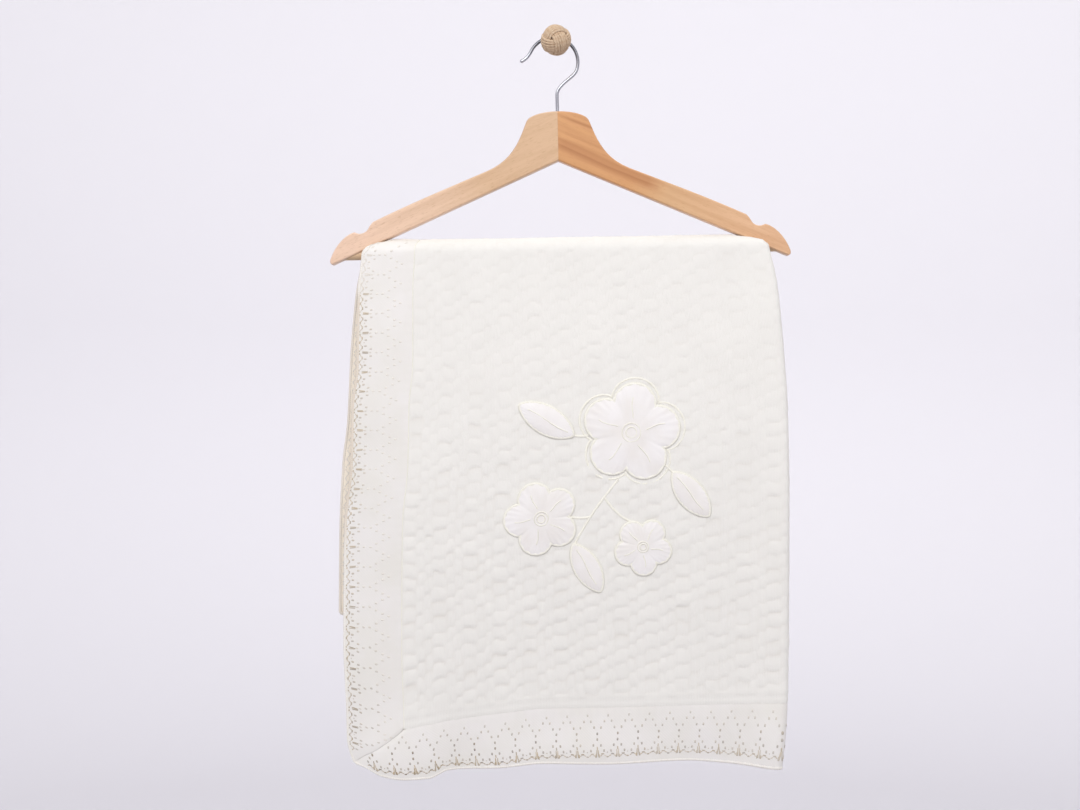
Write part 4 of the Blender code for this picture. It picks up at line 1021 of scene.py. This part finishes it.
def stitch_shape():
    """One stitch as a long low dome, eight-sided: its foot, a ring near its top, and a top point."""
    angle = np.arange(8) * math.pi / 4
    blunt = 1 + 0.17 * (np.arange(8) % 2)
    outline = np.column_stack([np.cos(angle) * blunt, np.sin(angle) * blunt])
    foot = np.column_stack([outline, np.full(8, -0.6)])
    ring = np.column_stack([0.80 * outline, np.full(8, 0.72)])
    points = np.concatenate([foot, ring, [[0, 0, 1.0]]])
    this, after = np.arange(8), (np.arange(8) + 1) % 8
    faces = np.stack([this, after, after + 8, this + 8], -1).tolist()
    faces += [[16, a + 8, b + 8] for a, b in zip(this, after)] + [list(range(8))[::-1]]
    return points, faces


def build_stitches(strip):
    """Every stitch of one strip, each the same shape, turned, sized, faded and laid on the satin."""
    if strip.total == WIDTH:
        starts, spire = np.arange(FIRST_ON_HEM, WIDTH - FIRST_ON_HEM, MOTIF_ON_HEM), SPIRE
    else:
        starts, spire = np.arange(FIRST_ON_SIDE, LENGTH - LAST_ON_SIDE, MOTIF_ON_SIDE), SIDE_SPIRE
    rows = np.array([tuple(stitch) for stitch in ZIGZAG + spire + SINGLES])
    middle = (starts[:, None] + rows[:, 0]).ravel()
    inset, half_length, half_width, turn, fade, gold = (
        np.tile(rows[:, column], len(starts)) for column in range(1, 7))
    random = np.random.default_rng(11).uniform(-1, 1, (5, len(middle)))
    inset = inset + UNEVEN_INSET * random[1]
    for wash in WASHES:
        if wash.strip == strip.name:
            share = wash.least + wash.more * ease((middle - wash.start) / wash.stretch)
            fade = fade + (1 - fade) * share * ease((inset - wash.inset) / wash.reach)
    if strip.name == "satin_front_hem":
        inset = inset + through(DRIFTS, "inset", middle)
    elif strip.name == "satin_outer_side":
        gold = gold + GOLD_UP_THE_SIDE * ease((middle - UP_THE_SIDE[0]) / UP_THE_SIDE[1])
        sunk = through(DROOPS, "seam", inset) - DROOPS[0].seam
        middle = middle + sunk * (1 - ease((middle - BORDER) / DROOP_FADE))
        inset = inset - SIDE_NEARER_EDGE
    middle = middle + UNEVEN_ALONG * random[0]
    turn = turn + UNEVEN_TURN * random[2]
    fade = 1 - (1 - fade) * np.clip(COLOUR_LEFT + UNEVEN_LEFT * random[3], 0, 1)
    gold = np.clip(gold + UNEVEN_GOLD * random[4], 0, 1)
    from_mitre = np.minimum(middle, strip.total - middle) - inset
    clear = (from_mitre > CLEAR_OF_MITRE) & (inset < BORDER - CLEAR_OF_SEAM)
    middle, inset, half_length, half_width, turn, fade, gold = (
        value[clear][:, None] for value in (middle, inset, half_length, half_width, turn, fade, gold))
    shape, shape_faces = stitch_shape()
    long, wide = shape[:, 0] * half_length, shape[:, 1] * half_width
    place = middle + long * np.sin(turn) + wide * np.cos(turn)
    depth = inset + long * np.cos(turn) - wide * np.sin(turn)
    lift = satin_lift(place, depth, strip.total) + STITCH_LIFT * shape[:, 2]
    points = on_cloth(*strip_place(strip, place, depth), lift)
    if strip.name in MIRRORED:
        shape_faces = [face[::-1] for face in shape_faces]
    firsts = len(shape) * np.arange(len(middle))[:, None]
    faces = [face for shape_face in shape_faces for face in (np.array(shape_face) + firsts).tolist()]
    return mesh_of("stitches_" + strip.name, points, faces, fade=np.broadcast_to(fade, place.shape),
                   gold=np.broadcast_to(gold, place.shape))


# Bronze and gold rayon thread, worked together: fine and a little shiny, in places washed nearly out.
bronze, tree, shader = new_material("bronze and gold rayon thread", Roughness=0.45, Sheen_Weight=0.2)
thread = add_node(tree, "Mix", {0: add_node(tree, "Attribute", attribute_name="gold").outputs["Fac"],
                                6: linear("#7d7264"), 7: linear("#b0955f")}, data_type="RGBA")
washed = add_node(tree, "Mix", {0: add_node(tree, "Attribute", attribute_name="fade").outputs["Fac"],
                                6: thread.outputs[2], 7: linear("#ebe6dc")}, data_type="RGBA")
tree.links.new(washed.outputs[2], shader.inputs["Base Color"])
stitches = {strip.name: show("stitches_" + strip.name, build_stitches(strip), bronze)
            for strip in STRIPS}

# ================================================================ the rolled edging and the seam cord
# The blanket's outer edge is overlocked in ivory thread over a fine roll.  A thin cord of butter rayon
# is laid down the seams between the knit and the side strips.
EDGING_RADIUS = 0.0017
EDGING_WRAP = 0.0021              # thread to thread along the roll
WRAP_SWELL = 0.14                 # how far the threads stand up from a roll or a stitched cord
SHADE_AND_YELLOWING_INNER, SHADE_AND_YELLOWING_LEFT = 0.45, 0.8  # how much the thread turns darker and yellower between the halves and at the left: a yellowing tint with painted shade
SEAM_CORD_RADIUS = 0.00045
SEAM_CORD_LIFT = CLOTH / 2 - 0.0001
EDGING_SIDES, SEAM_CORD_SIDES = 8, 6


def rounded_rectangle(inset, corner, spacing):
    """Places on the flat cloth along a rectangle with round corners, and the outward directions."""
    low_a, high_a, low_b, high_b = inset, WIDTH - inset, inset, LENGTH - inset
    places, outs = [], []
    for (ca, cb), start in (((low_a, low_b), 180), ((high_a, low_b), 270),
                            ((high_a, high_b), 0), ((low_a, high_b), 90)):
        centre = np.array([ca + (corner if ca == low_a else -corner),
                           cb + (corner if cb == low_b else -corner)])
        arc = np.radians(np.linspace(start, start + 90, max(3, round(corner * 1.57 / spacing))))
        out = np.column_stack([np.cos(arc), np.sin(arc)])
        places.append(centre + corner * out)
        outs.append(out)
    loop, ways = [], []
    for number in range(4):
        here, there = places[number], places[(number + 1) % 4]
        gap = np.linalg.norm(there[0] - here[-1])
        t = np.linspace(0, 1, round(gap / spacing), endpoint=False)[1:, None]
        loop += [here, here[-1] + (there[0] - here[-1]) * t]
        ways += [outs[number], np.repeat(outs[number][-1:], len(t), axis=0)]
    return np.concatenate(loop), np.concatenate(ways)


def cord_on_cloth(places, outs, radius, lift, sides, closed, wrap=None, squash=1.0):
    """Points of a cord laid on the flat cloth, ring by ring: place + r sin(a) out, lift + r cos(a).

    `wrap` raises slanting thread turns on it: r (1 + swell cos(2 pi s/wrap + a)).
    """
    run = np.concatenate([[0], np.cumsum(np.linalg.norm(np.diff(places, axis=0), axis=1))])[:, None]
    angle = np.arange(sides)[None] * 2 * math.pi / sides
    swell = 1.0 if wrap is None else 1 + WRAP_SWELL * np.cos(2 * math.pi * run / wrap + angle)
    reach = np.broadcast_to(radius, len(places))[:, None] * swell
    flat = places[:, None] + (reach * np.sin(angle))[..., None] * outs[:, None]
    high = np.broadcast_to(lift, len(places))[:, None] + squash * reach * np.cos(angle)
    return on_cloth(np.clip(flat[..., 0], 0, WIDTH), np.clip(flat[..., 1], 0, LENGTH), high), closed


def joined_cords(name, cords, **attributes):
    """Several cords in one mesh, each a closed loop or a length with a cap at each end."""
    faces, count = [], 0
    for rings, closed in cords:
        faces += tube_faces(*rings.shape[:2], closed, count)
        count += rings.shape[0] * rings.shape[1]
    points = np.concatenate([rings.reshape(-1, 3) for rings, _ in cords])
    return mesh_of(name, points, faces, smooth_up_to=80.0, **attributes)


def beside_path(places, closed=False):
    """Unit vectors on the flat cloth that point to the right of a path."""
    way = np.gradient(places, axis=0)
    if closed:
        way = np.roll(places, -1, axis=0) - np.roll(places, 1, axis=0)
    return np.column_stack([way[:, 1], -way[:, 0]]) / np.linalg.norm(way, axis=1, keepdims=True)


def thread_finish(name, dark, pale, roughness):
    """A spun thread: its colour drifts softly between two tones, every 1.4 mm."""
    material, tree, shader = new_material(name, Roughness=roughness, Sheen_Weight=0.15)
    twist = add_node(tree, "TexNoise", {"Vector": add_node(tree, "TexCoord").outputs["Object"],
                                        "Scale": 700.0, "Detail": 3.0})
    drift = add_node(tree, "ValToRGB", {"Fac": twist.outputs["Fac"]}, stops=(
        (0.3, linear(dark)), (0.7, linear(pale))))
    tree.links.new(drift.outputs[0], shader.inputs["Base Color"])
    return material, tree, shader, drift


# Ivory overlock thread, spun polyester; it turns darker and yellower up the left edge and between the
# halves, a yellowing tint with painted shade.
overlock, tree, shader, drift = thread_finish("ivory overlock thread", "#f1ece1", "#faf7f0", 0.7)
yellowing_and_painted_shade = add_node(tree, "Mix", {0: add_node(tree, "Attribute", attribute_name="aged").outputs["Fac"],
                                  6: drift.outputs[0], 7: linear("#e6d9c6")}, data_type="RGBA")
tree.links.new(yellowing_and_painted_shade.outputs[2], shader.inputs["Base Color"])
loop, loop_outs = rounded_rectangle(EDGING_RADIUS, 0.003, 0.0007)
# A yellowing tint with painted shade: the thread is darker and yellower up the left edge and between the
# halves.
inner_edge = ease((loop[:, 0] - WIDTH + 0.05) / 0.04) * ease((loop[:, 1] - 0.45) / 0.05)
left_edge = (loop[:, 0] < 0.01) * ease((loop[:, 1] - 0.20) / 0.05) * (1 - ease((loop[:, 1] - 0.45) / 0.02))
aged = np.repeat(SHADE_AND_YELLOWING_INNER * inner_edge + SHADE_AND_YELLOWING_LEFT * left_edge, EDGING_SIDES)
edging = show("rolled_edging", joined_cords("rolled_edging", [cord_on_cloth(
    loop, loop_outs, EDGING_RADIUS, 0.0, EDGING_SIDES, True, EDGING_WRAP, 1.15)], aged=aged),
    overlock)

# Butter-coloured rayon, for the seam line down both sides and for the satin stitch on the patches.
butter = thread_finish("butter rayon thread", "#f1eedf", "#f7f5ea", 0.5)[0]
seam_run = np.arange(BORDER, LENGTH - BORDER, 0.002)
seam_lines = [np.column_stack([np.full(len(seam_run), at), seam_run]) for at in (BORDER, WIDTH - BORDER)]
seam_cord = show("seam_cord", joined_cords("seam_cord", [cord_on_cloth(
    line, beside_path(line), SEAM_CORD_RADIUS, SEAM_CORD_LIFT, SEAM_CORD_SIDES, False)
    for line in seam_lines]), butter)

# ================================================================ the appliqué
# White satin flowers and leaves over thin wadding, edged in cream satin stitch, with stitched veins,
# flower middles and stems: a plain garden motif.
PATCH_BASE = CLOTH / 2 + 0.0006
PATCH_CROWN = 0.0016
PATCH_SIDE = 0.0009               # height of a patch's side, under its crown
PATCH_PUCKER, PATCH_WRINKLE = 0.00022, 0.0003
PATCH_RINGS = 18
SECTORS = {"flower": 160, "leaf": 96}
EDGE_RADIUS, ECHO_RADIUS, STEM_RADIUS, VEIN_RADIUS = 0.0015, 0.0011, 0.0012, 0.0006
EDGE_LIFT = PATCH_BASE + 0.0004
STITCHED_ON_KNIT = CLOTH / 2 + 0.0001   # lift of the stems, and of the largest flower's echo
ECHO_OUT = 0.12                   # how far outside its flower the echo runs, in half lengths
VEIN_SINK = 0.0001                # how deep a vein's middle lies in its patch
PETAL_VEIN = (0.30, 0.42)         # where a petal's vein starts, and its length, in half lengths
MIDRIB = (-0.80, 1.5)
FLOWER_RINGS = (0.19, 0.11)       # radii of the stitched rings at a flower's middle
CORD_SIDES, VEIN_SIDES = 8, 6
CORD_WRAP, VEIN_WRAP = 0.0011, 0.0016
CORD_SQUASH = 0.5                 # satin stitch stands half as high as it is wide


def patch_crown(reach):
    """Share of the wadding's height, from 1 at a patch's middle to 0 on its outline: (1 - r^2.6)^0.8."""
    return np.clip(1 - reach ** 2.6, 0, 1) ** 0.8


def build_patch(patch):
    """A puffed satin patch: rings from its outline in, at base + side + crown (1 - r^2.6)^0.8.

    Small radial puckers, dying inwards, come from the stitching.
    """
    sectors = SECTORS[patch.kind]
    angles = np.arange(sectors) * 2 * math.pi / sectors
    x, z = patch_outline(patch, angles)
    rings = np.linspace(1.0, 0.06, PATCH_RINGS)[:, None]
    across, along = on_patch(patch, rings * x, rings * z)
    crown = patch_crown(rings)
    pucker = PATCH_PUCKER * np.sin(angles * 31 + 2 * np.sin(angles * 3)) * rings ** 4
    wrinkle = PATCH_WRINKLE * np.sin(across * 190 + 2 * np.sin(along * 90)) * crown * (1 - rings * 0.4)
    top = on_cloth(across, along, PATCH_BASE + PATCH_SIDE + PATCH_CROWN * crown + pucker + wrinkle)
    low = on_cloth(across[0], along[0], np.full(sectors, PATCH_BASE))
    points = np.concatenate([low, top.reshape(-1, 3)])
    flat = np.stack([across / WIDTH, along / LENGTH], -1)
    uv = np.concatenate([flat[0], flat.reshape(-1, 2)])
    return mesh_of(patch.name.replace("patch", "satin"), points, tube_faces(PATCH_RINGS + 1, sectors),
                   uv=uv, smooth_up_to=70.0)


def patch_path(patch, out):
    """A patch's outline on the flat cloth, or one further out, in 400 steps."""
    return np.column_stack(on_patch(patch, *patch_outline(patch, np.arange(400) * math.pi / 200, out)))


def patch_veins(patch):
    """Stitched lines on a patch: one up each petal and a ring at the middle, or a leaf's midrib."""
    steps = np.linspace(0, 1, 24)
    if patch.kind == "leaf":
        x = patch.length / 2 * (MIDRIB[0] + MIDRIB[1] * steps)
        return [np.column_stack(on_patch(patch, x, 0.0008 * np.sin(steps * 6)))]
    lines = []
    for petal in range(PETALS):
        turn = petal * 2 * math.pi / PETALS
        reach = patch.length / 2 * (PETAL_VEIN[0] + PETAL_VEIN[1] * steps)
        bend = turn + 0.10 * np.sin(steps * 2.4)
        lines.append(np.column_stack(on_patch(patch, reach * np.cos(bend), reach * np.sin(bend))))
    ring = np.linspace(0, 2 * math.pi, 61)
    for radius in FLOWER_RINGS:
        lines.append(np.column_stack(on_patch(patch, radius * patch.length / 2 * np.cos(ring),
                                              radius * patch.length / 2 * np.sin(ring))))
    return lines


def patch_top(patch, across, along):
    """Right side of a patch above the cloth's middle: base + side + crown (1 - r^2.6)^0.8."""
    reach = np.clip(patch_reach(patch, across, along), 0, 1)
    return PATCH_BASE + PATCH_SIDE + PATCH_CROWN * patch_crown(reach)


def patch_edge(patch):
    """Satin stitch round a patch, an echo of it on the largest flower, and the patch's veins."""
    cords = []
    outlines = [(0.0, EDGE_RADIUS, EDGE_LIFT)]
    if patch is PATCHES[0]:
        outlines.append((ECHO_OUT, ECHO_RADIUS, STITCHED_ON_KNIT))
    for out, radius, lift in outlines:
        path = patch_path(patch, out)
        cords.append(cord_on_cloth(path, beside_path(path, True), radius, lift, CORD_SIDES, True,
                                   CORD_WRAP, CORD_SQUASH))
    for line in patch_veins(patch):
        lift = patch_top(patch, *line.T) - VEIN_SINK
        cords.append(cord_on_cloth(line, beside_path(line), VEIN_RADIUS, lift, VEIN_SIDES, False,
                                   VEIN_WRAP))
    return joined_cords(patch.name.replace("patch", "edge"), cords)


# White polyester satin over wadding: whiter and smoother than the border, with a soft sheen and a
# faint warp rib, 1.2 mm apart.
white_satin, tree, shader = new_material("white satin over wadding", Roughness=0.46, Sheen_Weight=0.1)
flat = add_node(tree, "UVMap", uv_map="cloth").outputs[0]
warp = add_node(tree, "TexWave", {"Vector": add_node(tree, "Mapping", {
    "Vector": flat, "Scale": (WIDTH, LENGTH, 1.0)}).outputs[0], "Scale": 260.0, "Distortion": 0.8},
    bands_direction="Y")
haze = add_node(tree, "TexNoise", {"Vector": add_node(tree, "TexCoord").outputs["Object"],
                                   "Scale": 40.0, "Detail": 4.0})
tree.links.new(add_node(tree, "ValToRGB", {"Fac": haze.outputs["Fac"]}, stops=(
    (0.35, linear("#f0ece6")), (0.65, linear("#f5f2ef")))).outputs[0], shader.inputs["Base Color"])
tree.links.new(add_node(tree, "Bump", {"Height": warp.outputs["Fac"], "Strength": 0.06,
                                       "Distance": 0.0003}).outputs[0], shader.inputs["Normal"])
for patch in PATCHES:
    piece = show(patch.name.replace("patch", "satin"), build_patch(patch), white_satin,
                 [patch.name])
    edge = show(patch.name.replace("patch", "edge"), patch_edge(patch), butter)

# Stems of the same satin stitch, worked on the knit between the flowers and the leaves.
show("stitched_stems", joined_cords("stitched_stems", [cord_on_cloth(
    path, beside_path(path), STEM_RADIUS, STITCHED_ON_KNIT, CORD_SIDES, False, CORD_WRAP, CORD_SQUASH)
    for path in map(stem_path, STEMS)]), butter)

# ================================================================ the studio
# A pale paper floor that sweeps up all round, a big soft light above and in front, weaker ones from the
# left and from behind, and an even room light.
FLOOR_Z = -1.22
FLOOR_FLAT = 2.5
SWEEP = 1.1
WALL_TOP = 1.0
AROUND = 96
ROOM_LIGHT = 0.76
CAMERA_PLACE = (-0.0154, -1.820, -0.3519)
CAMERA_LENS, CAMERA_SENSOR = 61.6, 36.0            # in millimetres


def build_sweep():
    """The paper: a flat disc, a quarter round, and a short wall, all turned about a vertical axis."""
    turn = np.linspace(0, math.pi / 2, 14)
    radius = np.concatenate([[0.01, 0.8, 1.6], FLOOR_FLAT + SWEEP * np.sin(turn), [FLOOR_FLAT + SWEEP]])
    height = np.concatenate([np.full(3, FLOOR_Z), FLOOR_Z + SWEEP * (1 - np.cos(turn)), [WALL_TOP]])
    around = np.linspace(0, 2 * math.pi, AROUND, endpoint=False)
    points = np.stack([radius[:, None] * np.cos(around), radius[:, None] * np.sin(around),
                       np.repeat(height[:, None], AROUND, axis=1)], -1)
    return mesh_of("paper_sweep", points, grid_faces(len(radius), AROUND, False, True).tolist())


paper, tree, shader = new_material("pale studio paper", Roughness=1.0)
shader.inputs["Base Color"].default_value = linear("#d5d3d7")
floor_mesh = build_sweep()
floor_mesh.materials.append(paper)
floor = bpy.data.objects.new("paper_sweep", floor_mesh)
bpy.context.collection.objects.link(floor)

Light = namedtuple("Light", "name toward strength degrees")
LIGHTS = (
    Light("soft_key", (0.0, -0.88, 0.46), 2.33, 50.0),
    Light("soft_left", (-0.80, -0.52, 0.30), 0.58, 80.0),
    Light("soft_back", (0.35, 0.65, 0.68), 0.65, 60.0),
)
for light in LIGHTS:
    lamp = bpy.data.lights.new(light.name, "SUN")
    lamp.energy = light.strength
    lamp.angle = math.radians(light.degrees)
    holder = bpy.data.objects.new(light.name, lamp)
    bpy.context.collection.objects.link(holder)
    holder.rotation_euler = (math.atan2(math.hypot(*light.toward[:2]), light.toward[2]), 0.0,
                             math.atan2(light.toward[1], light.toward[0]) + math.pi / 2)

world = bpy.data.worlds.new("soft room light")
bpy.context.scene.world = world
world.use_nodes = True
world.node_tree.nodes["Background"].inputs["Color"].default_value = linear("#eeedf2")
world.node_tree.nodes["Background"].inputs["Strength"].default_value = ROOM_LIGHT

camera_data = bpy.data.cameras.new("camera")
camera_data.sensor_width = CAMERA_SENSOR
camera_data.lens = CAMERA_LENS
camera = bpy.data.objects.new("camera", camera_data)
bpy.context.collection.objects.link(camera)
camera.location = CAMERA_PLACE
camera.rotation_euler = (math.pi / 2, 0.0, 0.0)
bpy.context.scene.camera = camera
bpy.context.scene.view_settings.view_transform = "Standard"
